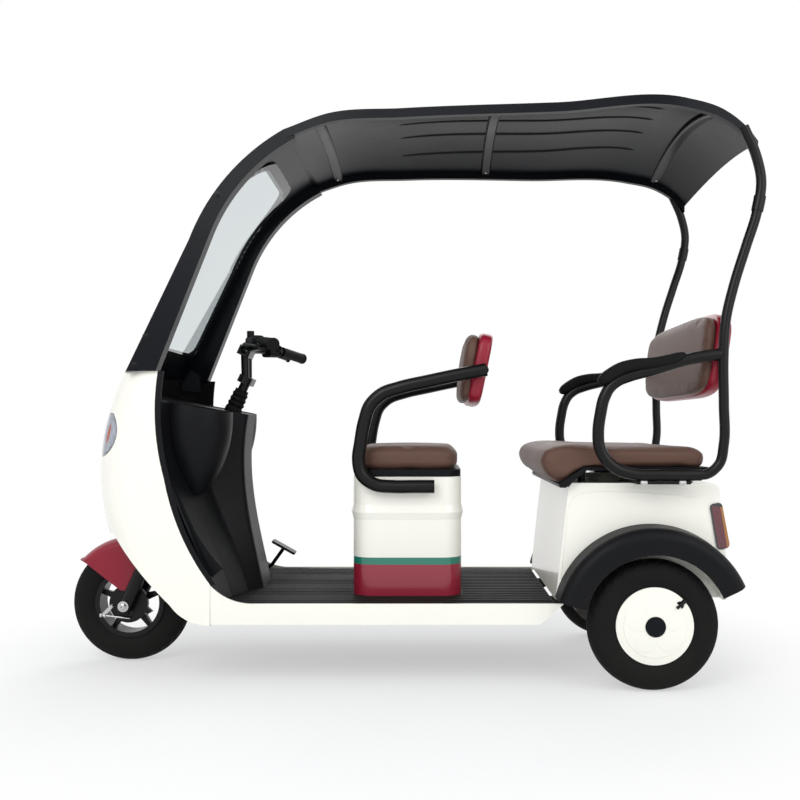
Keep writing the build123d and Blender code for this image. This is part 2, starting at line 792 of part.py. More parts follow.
with BuildPart() as rear_body:
    extrude(body_outline(0, 1), amount=BODY_HALF, both=True)
    fillet(rear_body.edges().filter_by(Axis.Z, tolerance=10).group_by(Axis.X)[-1], 24)
    extrude(body_outline(PANEL, 30), amount=BODY_HALF - PANEL, both=True, mode=Mode.SUBTRACT)
    with Locations(((BODY_FRONT_LOW[0] + BODY_REAR_LOW[0]) / 2, 0, TUB_FLOOR - PANEL / 2)):
        Box(460, 2 * BODY_HALF - 8, PANEL)
    with Locations(((HATCH_FRONT + HATCH_REAR) / 2, 0, BODY_REAR_HIGH[1])):
        Box(HATCH_FRONT - HATCH_REAR, 2 * HATCH_HALF, 40, mode=Mode.SUBTRACT)
    for side in (1, -1):
        with BuildSketch(side_plane(side * ARCH_WALL_Y).shift_origin((REAR_AXLE_X, side * ARCH_WALL_Y, WHEEL_R))):
            Circle(ARCH_R + PANEL)
        extrude(amount=-side * (BODY_HALF - ARCH_WALL_Y - 1))
        with BuildSketch(side_plane(side * (ARCH_WALL_Y + PANEL)).shift_origin((REAR_AXLE_X, side * (ARCH_WALL_Y + PANEL), WHEEL_R))):
            Circle(ARCH_R)
        extrude(amount=-side * 200, mode=Mode.SUBTRACT)
    with Locations((REAR_AXLE_X, 0, BODY_FRONT_LOW[1] - 200)):
        Box(900, 900, 400, mode=Mode.SUBTRACT)
    for side in (1, -1):
        add(tail_lamp_prism(side), mode=Mode.SUBTRACT)
save(rear_body.part, "rear_body")

with BuildPart() as tail_lamps:
    for side in (1, -1):
        add(tail_lamp_prism(side))
save(tail_lamps.part, "tail_lamps")

# Rear fenders: thick flares turned about the wheels' axis and cut off at both ends
FENDER_WALL = 5.0
FENDER_LOW = 12.0
with BuildPart() as rear_fenders:
    for side in (1, -1):
        with BuildSketch(Plane((REAR_AXLE_X, 0, WHEEL_R), x_dir=(1, 0, 0), z_dir=(0, 0, side))):
            with BuildLine():
                Polyline((200, 426), (242, 428))
                ThreePointArc((242, 428), (263, 420), (274, 400))
                Line((274, 400), (279, BODY_HALF))
                Line((279, BODY_HALF), (279 - FENDER_WALL, BODY_HALF))
                Line((279 - FENDER_WALL, BODY_HALF), (274 - FENDER_WALL, 398))
                ThreePointArc((274 - FENDER_WALL, 398), (259, 415), (242, 423))
                Polyline((242, 423), (200, 421), (200, 426))
            make_face()
        revolve(axis=hub_line)
    with BuildSketch(side_plane(0)):
        with BuildLine():
            Polyline(
                (REAR_AXLE_X, WHEEL_R - 8),
                (REAR_AXLE_X + 400, WHEEL_R + 108),
                (REAR_AXLE_X + 400, 700),
                (REAR_AXLE_X - 600, 700),
                (REAR_AXLE_X - 600, WHEEL_R + 284),
                close=True,
            )
        make_face()
    extrude(amount=500, both=True, mode=Mode.INTERSECT)
save(rear_fenders.part, "rear_fenders")

# Rear axle: housing tube, motor and stub shafts, as one plain unit
with BuildPart() as rear_axle:
    with BuildSketch(side_plane(0).shift_origin((REAR_AXLE_X, 0, WHEEL_R))):
        Circle(30)
    extrude(amount=300, both=True)
    with BuildSketch(side_plane(0).shift_origin((REAR_AXLE_X, 0, WHEEL_R))):
        Circle(62)
    extrude(amount=55, both=True)
    with BuildSketch(side_plane(-40).shift_origin((REAR_AXLE_X + 104, -40, WHEEL_R + 4))):
        Circle(66)
    extrude(amount=70, both=True)
    with BuildSketch(side_plane(0).shift_origin((REAR_AXLE_X, 0, WHEEL_R))):
        Circle(STUB_R)
    extrude(amount=REAR_WHEEL_Y + 19, both=True)
save(rear_axle.part, "rear_axle")

# Leaf springs: three stacked leaves under each rail, clamped to the axle and hung from the rails
SPRING_Y = 170.0
LEAF = 7.0
# Each leaf: half length, drop below the main leaf
LEAVES = [(165, 0), (120, 1), (75, 2)]
with BuildPart() as leaf_springs:
    for side in (1, -1):
        for half, order in LEAVES:
            lift = 34 * (half / 165) ** 2
            low = WHEEL_R + 30 + 2 * LEAF - order * LEAF
            with BuildSketch(side_plane(side * SPRING_Y)):
                with BuildLine():
                    ThreePointArc(
                        (REAR_AXLE_X - half, low + lift), (REAR_AXLE_X, low), (REAR_AXLE_X + half, low + lift)
                    )
                    Line((REAR_AXLE_X + half, low + lift), (REAR_AXLE_X + half, low + lift + LEAF))
                    ThreePointArc(
                        (REAR_AXLE_X + half, low + lift + LEAF),
                        (REAR_AXLE_X, low + LEAF),
                        (REAR_AXLE_X - half, low + lift + LEAF),
                    )
                    Line((REAR_AXLE_X - half, low + lift + LEAF), (REAR_AXLE_X - half, low + lift))
                make_face()
            extrude(amount=20, both=True)
        for x in (REAR_AXLE_X - 155, REAR_AXLE_X + 155):
            with Locations((x, side * SPRING_Y, 273)):
                Box(26, 30, 26)
    add(rear_axle.part, mode=Mode.SUBTRACT)
    add(chassis_frame.part, mode=Mode.SUBTRACT)
save(leaf_springs.part, "leaf_springs")

# Bench supports: plates that carry the armrest loops on the body, and the cushion's rest stops
BENCH_PIVOT = (-470.0, 552.0)
PAN_LOW = 614.0
PAN_THICK = 10.0
with BuildPart() as bench_supports:
    plate_thick = LOOP_LOW_Z - LOOP_R - BODY_REAR_HIGH[1]
    for side in (1, -1):
        with Locations((-743, side * 352, BODY_REAR_HIGH[1] + plate_thick / 2)):
            Box(150, 108, plate_thick)
        for x in (-545, -860):
            with Locations((x, side * 220, BODY_REAR_HIGH[1])):
                Cylinder(12, 30, align=(Align.CENTER, Align.CENTER, Align.MIN))
save(bench_supports.part, "bench_supports")

with BuildPart() as rear_seat_pan:
    with BuildSketch(side_plane(0)):
        with BuildLine():
            Polyline(
                (-879, PAN_LOW), (-536, PAN_LOW), (-478, 566), (-462, 566), (-458, 576), (-530, PAN_LOW + PAN_THICK),
                (-879, PAN_LOW + PAN_THICK), close=True,
            )
        make_face()
    extrude(amount=BENCH_HALF - 8, both=True)
save(rear_seat_pan.part, "rear_seat_pan")

with BuildPart() as rear_cushion:
    with BuildSketch(side_plane(0)) as profile:
        with BuildLine():
            Polyline((-530, PAN_LOW + PAN_THICK), (-458, 576), (-432, 584))
            ThreePointArc((-432, 584), (-396, 640), (-440, 678))
            Polyline((-440, 678), (-500, 684), (-870, 676), (-879, PAN_LOW + PAN_THICK), (-530, PAN_LOW + PAN_THICK))
        make_face()
    extrude(amount=BENCH_HALF, both=True)
save(rear_cushion.part, "rear_cushion")

# Bench backrest: a red moulded shell between the posts and the pad on its front
with BuildPart() as rear_backrest_pad:
    with BuildSketch(side_plane(0)):
        with BuildLine():
            Polyline((-858, 822), (-879, 1066), (-905, 1066), (-884, 822), close=True)
        make_face()
    extrude(amount=385, both=True)
save(rear_backrest_pad.part, "rear_backrest_pad")

with BuildPart() as rear_backrest_shell:
    with BuildSketch(side_plane(0)):
        with BuildLine():
            Line((-884, 822), (-905, 1066))
            ThreePointArc((-905, 1066), (-934, 1048), (-944, 1004))
            Polyline((-944, 1004), (-912, 838), (-884, 822))
        make_face()
    extrude(amount=385, both=True)
    with BuildSketch(side_plane(0).shift_origin((-907, 0, 915))):
        Circle(11)
    extrude(amount=POST_Y - POST_R, both=True)
save(rear_backrest_shell.part, "rear_backrest_shell")

# Driver's bin: a moulded tub with a bulged ring, a flat flange and a closed floor
RING_LOW = 462.0
RING_HIGH = 506.0
RING_OUT = 6.0
BIN_WALL = 4.0
BIN_CORNER = 60.0
with BuildPart() as seat_bin:
    with BuildSketch(Plane.XY.offset(FLOOR_TOP)):
        with Locations((BIN_X, 0)):
            RectangleRounded(BIN_LENGTH, 2 * BIN_HALF, BIN_CORNER)
    extrude(amount=BIN_TOP - FLOOR_TOP)
    for low, high in ((RING_LOW, (RING_LOW + RING_HIGH) / 2), (RING_HIGH, (RING_LOW + RING_HIGH) / 2)):
        with BuildSketch(Plane.XY.offset(low)):
            with Locations((BIN_X, 0)):
                RectangleRounded(BIN_LENGTH, 2 * BIN_HALF, BIN_CORNER)
        with BuildSketch(Plane.XY.offset(high)):
            with Locations((BIN_X, 0)):
                RectangleRounded(BIN_LENGTH + 2 * RING_OUT, 2 * (BIN_HALF + RING_OUT), BIN_CORNER + RING_OUT)
        loft()
    with BuildSketch(Plane.XY.offset(FLOOR_TOP + BIN_WALL)):
        with Locations((BIN_X, 0)):
            RectangleRounded(BIN_LENGTH - 2 * BIN_WALL, 2 * (BIN_HALF - BIN_WALL), BIN_CORNER - BIN_WALL)
    extrude(amount=BIN_TOP, mode=Mode.SUBTRACT)
save(seat_bin.part, "seat_bin")

# Battery: one plain block in the bin
BATTERY_TOP = 440.0
with BuildPart() as battery_pack:
    with Locations((BIN_X, 0, (FLOOR_TOP + BIN_WALL + BATTERY_TOP) / 2)):
        Box(BIN_LENGTH - 60, 2 * BIN_HALF - 70, BATTERY_TOP - FLOOR_TOP - BIN_WALL)
save(battery_pack.part, "battery_pack")

# Driver's seat: a hinged pan and cushion over the bin
SEAT_PIVOT = (127.0, 596.0)
with BuildPart() as driver_seat_pan:
    with BuildSketch(Plane.XY.offset(BIN_TOP + 1)):
        with Locations((BIN_X, 0)):
            RectangleRounded(BIN_LENGTH - 4, 2 * BIN_HALF - 6, BIN_CORNER)
    extrude(amount=20)
save(driver_seat_pan.part, "driver_seat_pan")

with BuildPart() as driver_cushion:
    with BuildSketch(Plane.XY.offset(BIN_TOP + 21)):
        with Locations((BIN_X, 0)):
            RectangleRounded(BIN_LENGTH, 2 * BIN_HALF - 2, BIN_CORNER)
    extrude(amount=70)
    fillet(driver_cushion.edges().group_by(Axis.Z)[-1], 22)
save(driver_cushion.part, "driver_cushion")

# Driver's side bars: open tubes bolted to the bin, joined by a cross tube behind the backrest
BAR_POINTS = [(-262, 905), (50, 838), (145, 562), (-106, 562)]
BAR_BENDS = [110, 80]
with BuildPart() as driver_bars:
    for side in (1, -1):
        points = [(x, side * BAR_Y, z) for x, z in BAR_POINTS]
        add(tube(points, BAR_BENDS, BAR_R))
        for x in (-60, 40):
            with BuildSketch(side_plane(side * BIN_HALF).shift_origin((x, side * BIN_HALF, 562))):
                Circle(10)
            extrude(amount=-side * 12)
    with BuildSketch(side_plane(0).shift_origin((-251, 0, 903))):
        Circle(11)
    extrude(amount=BAR_Y, both=True)
save(driver_bars.part, "driver_bars")

# Driver's backrest: a red moulded shell and the pad on its front, tilted back
with BuildPart() as driver_backrest_pad:
    with BuildSketch(side_plane(0)):
        with BuildLine():
            Polyline((-186, 803), (-215, 1024), (-246, 1022), (-222, 803), close=True)
        make_face()
    extrude(amount=215, both=True)
    fillet(driver_backrest_pad.edges().filter_by(Axis.Y, tolerance=1).group_by(Axis.X)[-1], 10)
save(driver_backrest_pad.part, "driver_backrest_pad")

with BuildPart() as driver_backrest_shell:
    with BuildSketch(side_plane(0)):
        with BuildLine():
            Line((-222, 803), (-246, 1022))
            ThreePointArc((-246, 1022), (-282, 1012), (-299, 980))
            Polyline((-299, 980), (-262, 808), (-222, 803))
        make_face()
    extrude(amount=215, both=True)
    add(driver_bars.part, mode=Mode.SUBTRACT)
save(driver_backrest_shell.part, "driver_backrest_shell")

# Brake pedal: a bent rod from the floor with a flat pad
with BuildPart() as brake_pedal:
    add(tube([(478, -220, FLOOR_TOP + 2), (440, -220, 268), (398, -220, 327)], [20], 6))
    with BuildSketch(Plane((401, -220, 324), x_dir=(0, 1, 0), z_dir=(-0.49, 0, 0.872))):
        RectangleRounded(52, 88, 10)
    extrude(amount=8)
save(brake_pedal.part, "brake_pedal")

# Fork: two legs, a crown, the steering stem and the wheel's axle
LEG_Y = 76.0
LEG_R = 16.0
CROWN_Z = 425.0
STEM_TOP = 896.0
lean = Vector(LEAN_X, 0, LEAN_Z)
axle_point = Vector(FRONT_AXLE_X, 0, WHEEL_R)
crown_point = Vector(on_axis(CROWN_Z))
leg_run = (crown_point - axle_point).dot(lean)
with BuildPart() as fork:
    for side in (1, -1):
        leg_plane = Plane(axle_point + (0, side * LEG_Y, 0), x_dir=(0, 1, 0), z_dir=lean)
        with BuildSketch(leg_plane.offset(-22)):
            Circle(LEG_R + 4)
        extrude(amount=150)
        with BuildSketch(leg_plane):
            Circle(LEG_R)
        extrude(amount=leg_run + 8)
    with BuildSketch(Plane(crown_point, x_dir=(0, 1, 0), z_dir=lean)) as crown:
        leg_offset = (axle_point + lean * leg_run - crown_point).length
        with Locations((0, -leg_offset)):
            SlotCenterToCenter(2 * LEG_Y, 48)
        Circle(30)
        make_hull(crown.edges())
    extrude(amount=20, both=True)
    with BuildSketch(Plane(crown_point, x_dir=(0, 1, 0), z_dir=lean)):
        Circle(STEM_R)
    extrude(amount=(Vector(on_axis(STEM_TOP)) - crown_point).length)
    with BuildSketch(side_plane(0).shift_origin((FRONT_AXLE_X, 0, WHEEL_R))):
        Circle(AXLE_R)
    extrude(amount=LEG_Y + 26, both=True)
    with BuildSketch(side_plane(48).shift_origin((FRONT_AXLE_X, 48, WHEEL_R))):
        Circle(60)
        with BuildLine():
            Polyline((-14, 0), (-60, -34), (-74, -26), (0, 40), close=True)
        make_face()
    extrude(amount=16)
save(fork.part, "fork")

# Handlebar: a clamp on the stem, two risers and a swept-back bar
BAR_TUBE_R = 11.0
RISER_Y = 46.0
GRIP_IN = (410, 180, 990)
GRIP_OUT = (352, 310, 974)
bar_centre = Vector(486, 0, 974)
with BuildPart() as handlebar:
    add(
        tube(
            [
                (GRIP_OUT[0], GRIP_OUT[1], GRIP_OUT[2]),
                (GRIP_IN[0], GRIP_IN[1], GRIP_IN[2]),
                (474, 92, 986),
                (486, 40, 974),
                (486, -40, 974),
                (474, -92, 986),
                (GRIP_IN[0], -GRIP_IN[1], GRIP_IN[2]),
                (GRIP_OUT[0], -GRIP_OUT[1], GRIP_OUT[2]),
            ],
            [60, 60, 40, 40, 60, 60],
            BAR_TUBE_R,
        )
    )
    clamp_point = Vector(on_axis(STEM_TOP - 12))
    for side in (1, -1):
        low = clamp_point + (0, side * 24, 0)
        high = bar_centre + (0, side * 30, 0)
        with BuildSketch(Plane(low, z_dir=high - low)):
            Circle(12)
        extrude(amount=(high - low).length)
    with BuildSketch(Plane(clamp_point, x_dir=(0, 1, 0), z_dir=lean)):
        SlotCenterToCenter(60, 44)
    extrude(amount=12, both=True)
    with BuildSketch(Plane(bar_centre, x_dir=(0, 1, 0), z_dir=lean)):
        RectangleRounded(96, 40, 12)
    extrude(amount=15, both=True)
    add(fork.part, mode=Mode.SUBTRACT)
save(handlebar.part, "handlebar")

grip_run = Vector(*GRIP_OUT) - Vector(*GRIP_IN)
with BuildPart() as grips:
    for side in (1, -1):
        inner = Vector(GRIP_IN[0], side * GRIP_IN[1], GRIP_IN[2])
        run = Vector(grip_run.X, side * grip_run.Y, grip_run.Z)
        with BuildSketch(Plane(inner + run * 0.1, z_dir=run)):
            Circle(17)
            Circle(BAR_TUBE_R, mode=Mode.SUBTRACT)
        extrude(amount=run.length * 0.9)
        with BuildSketch(Plane(inner + run, z_dir=run)):
            Circle(18)
        extrude(amount=6)
save(grips.part, "grips")

# Controls: switch housings round the bar with lever perches and their mirror bosses
MIRROR_R = 3.4
MIRROR_DEPTH = 18.0
MIRROR_TOP = 1026.0
with BuildPart() as control_housings:
    for side in (1, -1):
        outer = Vector(430, side * 152, 989)
        run = Vector(GRIP_IN[0] - 474, side * (GRIP_IN[1] - 92), 4).normalized()
        with BuildSketch(Plane(outer - run * 26, x_dir=(0, 0, 1), z_dir=run)):
            RectangleRounded(44, 42, 12)
        extrude(amount=46)
        with Locations((outer.X + 16, outer.Y - side * 6, 1000)):
            Cylinder(11, 2 * (MIRROR_TOP - 1000), align=(Align.CENTER, Align.CENTER, Align.CENTER))
        with Locations((outer.X + 16, outer.Y - side * 6, MIRROR_TOP - MIRROR_DEPTH / 2)):
            Cylinder(MIRROR_R, MIRROR_DEPTH, mode=Mode.SUBTRACT)
        pivot = outer + (30, side * 4, -2)
        tip = Vector(GRIP_OUT[0] + 46, side * 300, 968)
        with BuildSketch(Plane(pivot, z_dir=tip - pivot)):
            Ellipse(7, 4)
        extrude(amount=(tip - pivot).length)
        with Locations(tip):
            Sphere(8)
    add(handlebar.part, mode=Mode.SUBTRACT)
save(control_housings.part, "control_housings")

# Front mudguard: a deep arch with side cheeks, its front end drawn out over the tyre
GUARD_R = 203.0
GUARD_HALF = 54.0
GUARD_WALL = 4.0
with BuildPart() as front_mudguard:
    with BuildSketch(Plane((FRONT_AXLE_X, 0, WHEEL_R), x_dir=(1, 0, 0), z_dir=(0, 0, 1))):
        with BuildLine():
            Line((160, -GUARD_HALF), (188, -GUARD_HALF))
            ThreePointArc((188, -GUARD_HALF), (GUARD_R + 10, 0), (188, GUARD_HALF))
            Polyline((188, GUARD_HALF), (160, GUARD_HALF), (160, GUARD_HALF - GUARD_WALL), (187, GUARD_HALF - GUARD_WALL))
            ThreePointArc((187, GUARD_HALF - GUARD_WALL), (GUARD_R + 5, 0), (187, -GUARD_HALF + GUARD_WALL))
            Polyline((187, -GUARD_HALF + GUARD_WALL), (160, -GUARD_HALF + GUARD_WALL), (160, -GUARD_HALF))
        make_face()
    revolve(axis=Axis((FRONT_AXLE_X, 0, WHEEL_R), (0, 1, 0)))
    with BuildSketch(side_plane(0).shift_origin((FRONT_AXLE_X, 0, WHEEL_R))):
        with BuildLine():
            Polyline((-60, 20), (60, 40), (190, 80), (400, 200), (400, 500), (-400, 500), (-400, 60), close=True)
        make_face()
    extrude(amount=200, both=True, mode=Mode.INTERSECT)
    for side in (1, -1):
        with BuildSketch(Plane(axle_point + lean * 172 + (0, side * (GUARD_HALF + 4), 0), x_dir=(0, 1, 0), z_dir=lean)):
            Rectangle(12, 26)
        extrude(amount=14)
    add(fork.part, mode=Mode.SUBTRACT)
save(front_mudguard.part, "front_mudguard")
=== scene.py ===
# %% [markdown]
# # An electric tricycle with a canopy
#
# This lesson dresses a finished CAD model: a three-wheeled passenger tricycle with a windscreen and a roof.
# The solids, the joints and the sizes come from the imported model, so nothing here is scaled or moved.

import bmesh
import bpy
import numpy as np
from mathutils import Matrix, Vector


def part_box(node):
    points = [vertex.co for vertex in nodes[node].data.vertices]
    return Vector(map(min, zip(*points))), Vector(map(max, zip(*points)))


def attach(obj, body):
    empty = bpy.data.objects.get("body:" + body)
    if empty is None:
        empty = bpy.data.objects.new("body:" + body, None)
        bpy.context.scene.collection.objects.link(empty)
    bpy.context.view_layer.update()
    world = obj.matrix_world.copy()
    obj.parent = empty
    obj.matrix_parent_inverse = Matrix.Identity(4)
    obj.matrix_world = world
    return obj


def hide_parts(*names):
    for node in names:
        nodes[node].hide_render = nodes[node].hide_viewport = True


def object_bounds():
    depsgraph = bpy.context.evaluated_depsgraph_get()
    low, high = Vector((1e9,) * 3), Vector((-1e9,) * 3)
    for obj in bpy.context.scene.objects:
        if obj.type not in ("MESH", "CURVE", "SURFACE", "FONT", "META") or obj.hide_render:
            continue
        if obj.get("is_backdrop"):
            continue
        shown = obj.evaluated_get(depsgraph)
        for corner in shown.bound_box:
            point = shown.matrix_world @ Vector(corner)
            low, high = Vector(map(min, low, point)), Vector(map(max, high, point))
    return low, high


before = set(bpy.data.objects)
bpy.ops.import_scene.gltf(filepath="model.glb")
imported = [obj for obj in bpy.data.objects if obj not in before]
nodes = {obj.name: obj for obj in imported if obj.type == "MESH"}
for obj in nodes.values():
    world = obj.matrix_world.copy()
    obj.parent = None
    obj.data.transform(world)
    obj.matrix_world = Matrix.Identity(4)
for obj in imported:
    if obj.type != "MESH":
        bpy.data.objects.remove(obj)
cad_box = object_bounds()
print(len(nodes), "CAD nodes, box", [[round(v, 3) for v in corner] for corner in cad_box])

# %% [markdown]
# ## Surfaces from a grid of points
#
# Most parts of a vehicle are smooth surfaces: a tyre, a cushion, a tube. Each can be written as a function
# of two parameters, so a whole surface is one numpy array of points, and Blender only has to join
# neighbours. Modelling by hand would also do, but a formula is easy to correct against a photograph.


# %% A mesh from a grid
def placed(name, data):
    """A new object round a mesh, a camera or a lamp, put into the scene."""
    obj = bpy.data.objects.new(name, data)
    bpy.context.scene.collection.objects.link(obj)
    return obj


def grid_faces(rows, columns, close_rows, close_columns):
    """Quads between the neighbours of a rows by columns grid, and each corner's share of the way across.
    A closed direction joins its ends."""
    i, j = np.meshgrid(
        np.arange(rows - (not close_rows)), np.arange(columns - (not close_columns)), indexing="ij"
    )
    i, j = i.ravel(), j.ravel()
    after, beside = (i + 1) % rows, (j + 1) % columns
    here, after = i * columns, after * columns
    quads = np.stack([here + j, after + j, after + beside, here + beside], 1)
    low, high = (i / rows, j / columns), ((i + 1) / rows, (j + 1) / columns)
    share = np.stack([low[0], low[1], high[0], low[1], high[0], high[1], low[0], high[1]], 1)
    return quads, share.reshape(-1, 2)


def surface(name, points, close_rows=False, close_columns=False, cap_ends=False):
    """A mesh object over points[i, j]. cap_ends fans the first and the last row to their middles."""
    rows, columns = points.shape[:2]
    quads, share = grid_faces(rows, columns, close_rows, close_columns)
    flat = points.reshape(-1, 3)
    faces = quads.tolist()
    if cap_ends:
        middles = np.stack([points[0].mean(0), points[-1].mean(0)])
        flat = np.concatenate([flat, middles])
        around = np.arange(columns)
        beside = (around + 1) % columns
        first, last = rows * columns, rows * columns + 1
        start = (rows - 1) * columns
        faces += np.stack([around, beside, np.full(columns, first)], 1).tolist()
        faces += np.stack([start + beside, start + around, np.full(columns, last)], 1).tolist()
        share = np.concatenate([share, np.zeros((6 * columns, 2))])
    mesh = bpy.data.meshes.new(name)
    mesh.from_pydata(flat.tolist(), [], faces)
    layer = mesh.uv_layers.new(name="grid")
    layer.data.foreach_set("uv", share.astype(np.float32).ravel())
    return placed(name, mesh)


print("grid helper ready")


# %% [markdown]
# ## Normals and joining
#
# A surface worked out from a formula may face inwards, and several small pieces are easier to handle as
# one. `outward` merges doubled points and turns the faces out; `joined` puts meshes together without an
# operator.


# %% Turn faces out and join pieces
SIDES = ((1, "left"), (-1, "right"))


def outward(obj, smooth_angle=35):
    """Merges doubles, points every face out, and smooths all but the sharp edges."""
    work = bmesh.new()
    work.from_mesh(obj.data)
    bmesh.ops.remove_doubles(work, verts=work.verts, dist=1e-5)
    bmesh.ops.recalc_face_normals(work, faces=work.faces)
    work.to_mesh(obj.data)
    work.free()
    obj.data.shade_smooth()
    obj.data.set_sharp_from_angle(angle=np.radians(smooth_angle))
    return obj


def joined(name, pieces, smooth_angle=35):
    """One object out of several meshes, turned outwards; their own objects go."""
    work = bmesh.new()
    for piece in pieces:
        work.from_mesh(piece.data)
        bpy.data.objects.remove(piece)
    mesh = bpy.data.meshes.new(name)
    work.to_mesh(mesh)
    work.free()
    return outward(placed(name, mesh), smooth_angle)


print("finishing helpers ready")


# %% [markdown]
# ## Turned parts and swept parts
#
# A bolt, a cap and a tyre are a profile turned about an axis. A welt, a rod and a rubber seal are a small
# section carried along a line. Both are grids again: one parameter runs along the profile, one round it.


# %% Turn a profile, carry a section
def in_mm(rows):
    """Rows written in millimetres, as an array in metres."""
    return 0.001 * np.array(rows)


def across(axis):
    """Two unit directions at right angles to axis."""
    axis = np.asarray(axis, float) / np.linalg.norm(axis)
    other = np.array([0.0, 0.0, 1.0]) if abs(axis[2]) < 0.9 else np.array([1.0, 0.0, 0.0])
    u = np.cross(other, axis)
    u /= np.linalg.norm(u)
    return axis, u, np.cross(axis, u)


def turned(name, profile, centre, axis, steps=48, corners=0):
    """Rows of (radius, height) turned about axis through centre.
    With corners, the ring is a polygon, as on a hex nut."""
    profile = np.asarray(profile, float)
    axis, u, v = across(axis)
    angle = np.linspace(0, 2 * np.pi, steps, endpoint=False)
    grow = np.ones(steps)
    if corners:
        half = np.pi / corners
        grow = np.cos(half) / np.cos((angle % (2 * half)) - half)
    ring = (np.cos(angle) * grow)[:, None] * u + (np.sin(angle) * grow)[:, None] * v
    points = centre + profile[:, 0, None, None] * ring[None] + profile[:, 1, None, None] * axis
    return outward(surface(name, points, close_columns=True, cap_ends=True))


def line_through(points, count):
    """A smooth line through a few points: a cubic in each coordinate, with slopes from the neighbours."""
    points = np.asarray(points, float)
    step = np.concatenate([[0], np.cumsum(np.linalg.norm(np.diff(points, axis=0), axis=1))])
    slope = np.gradient(points, step, axis=0)
    at = np.linspace(0, step[-1], count)
    k = np.clip(np.searchsorted(step, at, side="right") - 1, 0, len(step) - 2)
    run = (step[k + 1] - step[k])[:, None]
    t = (at[:, None] - step[k][:, None]) / run
    return (
        (2 * t**3 - 3 * t**2 + 1) * points[k]
        + (t**3 - 2 * t**2 + t) * run * slope[k]
        + (3 * t**2 - 2 * t**3) * points[k + 1]
        + (t**3 - t**2) * run * slope[k + 1]
    )


def carried(name, line, section, up=(0, 0, 1), grow=1.0):
    """A closed section (rows of across, up) carried along a line, held level by the direction up.
    grow scales the section on the way."""
    line, section = np.asarray(line, float), np.asarray(section, float)
    along = np.gradient(line, axis=0)
    along /= np.linalg.norm(along, axis=1)[:, None]
    side = np.cross(along, np.broadcast_to(up, line.shape))
    side /= np.linalg.norm(side, axis=1)[:, None]
    rise = np.cross(side, along)
    size = np.broadcast_to(grow, len(line))[:, None, None]
    points = line[:, None] + size * (
        section[None, :, 0, None] * side[:, None] + section[None, :, 1, None] * rise[:, None]
    )
    return outward(surface(name, points, close_columns=True, cap_ends=True))


def round_section(radius, steps=16):
    """A circle of that radius."""
    angle = np.linspace(0, 2 * np.pi, steps, endpoint=False)
    return radius * np.stack([np.cos(angle), np.sin(angle)], 1)


print("turning and sweeping ready")

# %% [markdown]
# ## Finishes from shared node groups
#
# Paint, moulded plastic, rubber and leathercloth all vary a little: their tone is patchy, dust gathers low
# on the vehicle and their surface has a grain. Each effect is a node group, made once and given its own
# values in each material. An image would be quicker to paint, but nodes stay sharp at any distance.


# %% Node groups
def new_group(name, inputs, outputs):
    """An empty shader group with named sockets. inputs: (name, kind, value); outputs: (name, kind)."""
    group = bpy.data.node_groups.new(name, "ShaderNodeTree")
    for label, kind, value in inputs:
        socket = group.interface.new_socket(name=label, in_out="INPUT", socket_type="NodeSocket" + kind)
        socket.default_value = value
    for label, kind in outputs:
        group.interface.new_socket(name=label, in_out="OUTPUT", socket_type="NodeSocket" + kind)
    return group, group.nodes.new("NodeGroupInput"), group.nodes.new("NodeGroupOutput")


def node(tree, kind, **settings):
    """A new shader node with its settings."""
    made = tree.nodes.new("ShaderNode" + kind)
    for key, value in settings.items():
        setattr(made, key, value)
    return made


def feed(tree, socket, value):
    """Gives a socket a plain value, or a link where the value is itself a socket."""
    if isinstance(value, bpy.types.NodeSocket):
        tree.links.new(value, socket)
    else:
        socket.default_value = value


def fed(tree, made, **values):
    """Feeds a node's named inputs; an underscore stands for a space."""
    for key, value in values.items():
        feed(tree, made.inputs[key.replace("_", " ")], value)
    return made


def own_place(tree):
    """Each point's place in the object's own coordinates."""
    return node(tree, "TexCoord").outputs["Object"]


def own_parts(tree):
    """The X, Y and Z of that place, each as a socket."""
    return fed(tree, node(tree, "SeparateXYZ"), Vector=own_place(tree)).outputs


def noise(tree, where, scale, detail=3.0, roughness=0.55):
    """A noise texture read at where."""
    made = node(tree, "TexNoise")
    return fed(tree, made, Vector=where, Scale=scale, Detail=detail, Roughness=roughness).outputs["Fac"]


def maths(tree, operation, a, b=0.0, clamp=False):
    """One arithmetic step on sockets or numbers."""
    made = node(tree, "Math", operation=operation, use_clamp=clamp)
    feed(tree, made.inputs[0], a)
    feed(tree, made.inputs[1], b)
    return made.outputs[0]


def blended(tree, share, a, b):
    """Colour a turning into colour b by share."""
    made = node(tree, "Mix", data_type="RGBA")
    for number, value in ((0, share), (6, a), (7, b)):
        feed(tree, made.inputs[number], value)
    return made.outputs[2]


# %% [markdown]
# The first group makes a plain colour a little patchy and roughens it in places. The second lays road dust
# on whatever is near the ground, thinning out with height. The third is a fine grain that feeds a Bump
# node.

# %% Patchy tone, road dust and grain
WHITE = (1, 1, 1, 1)
PAINTED = [("Colour", "Color"), ("Roughness", "Float")]

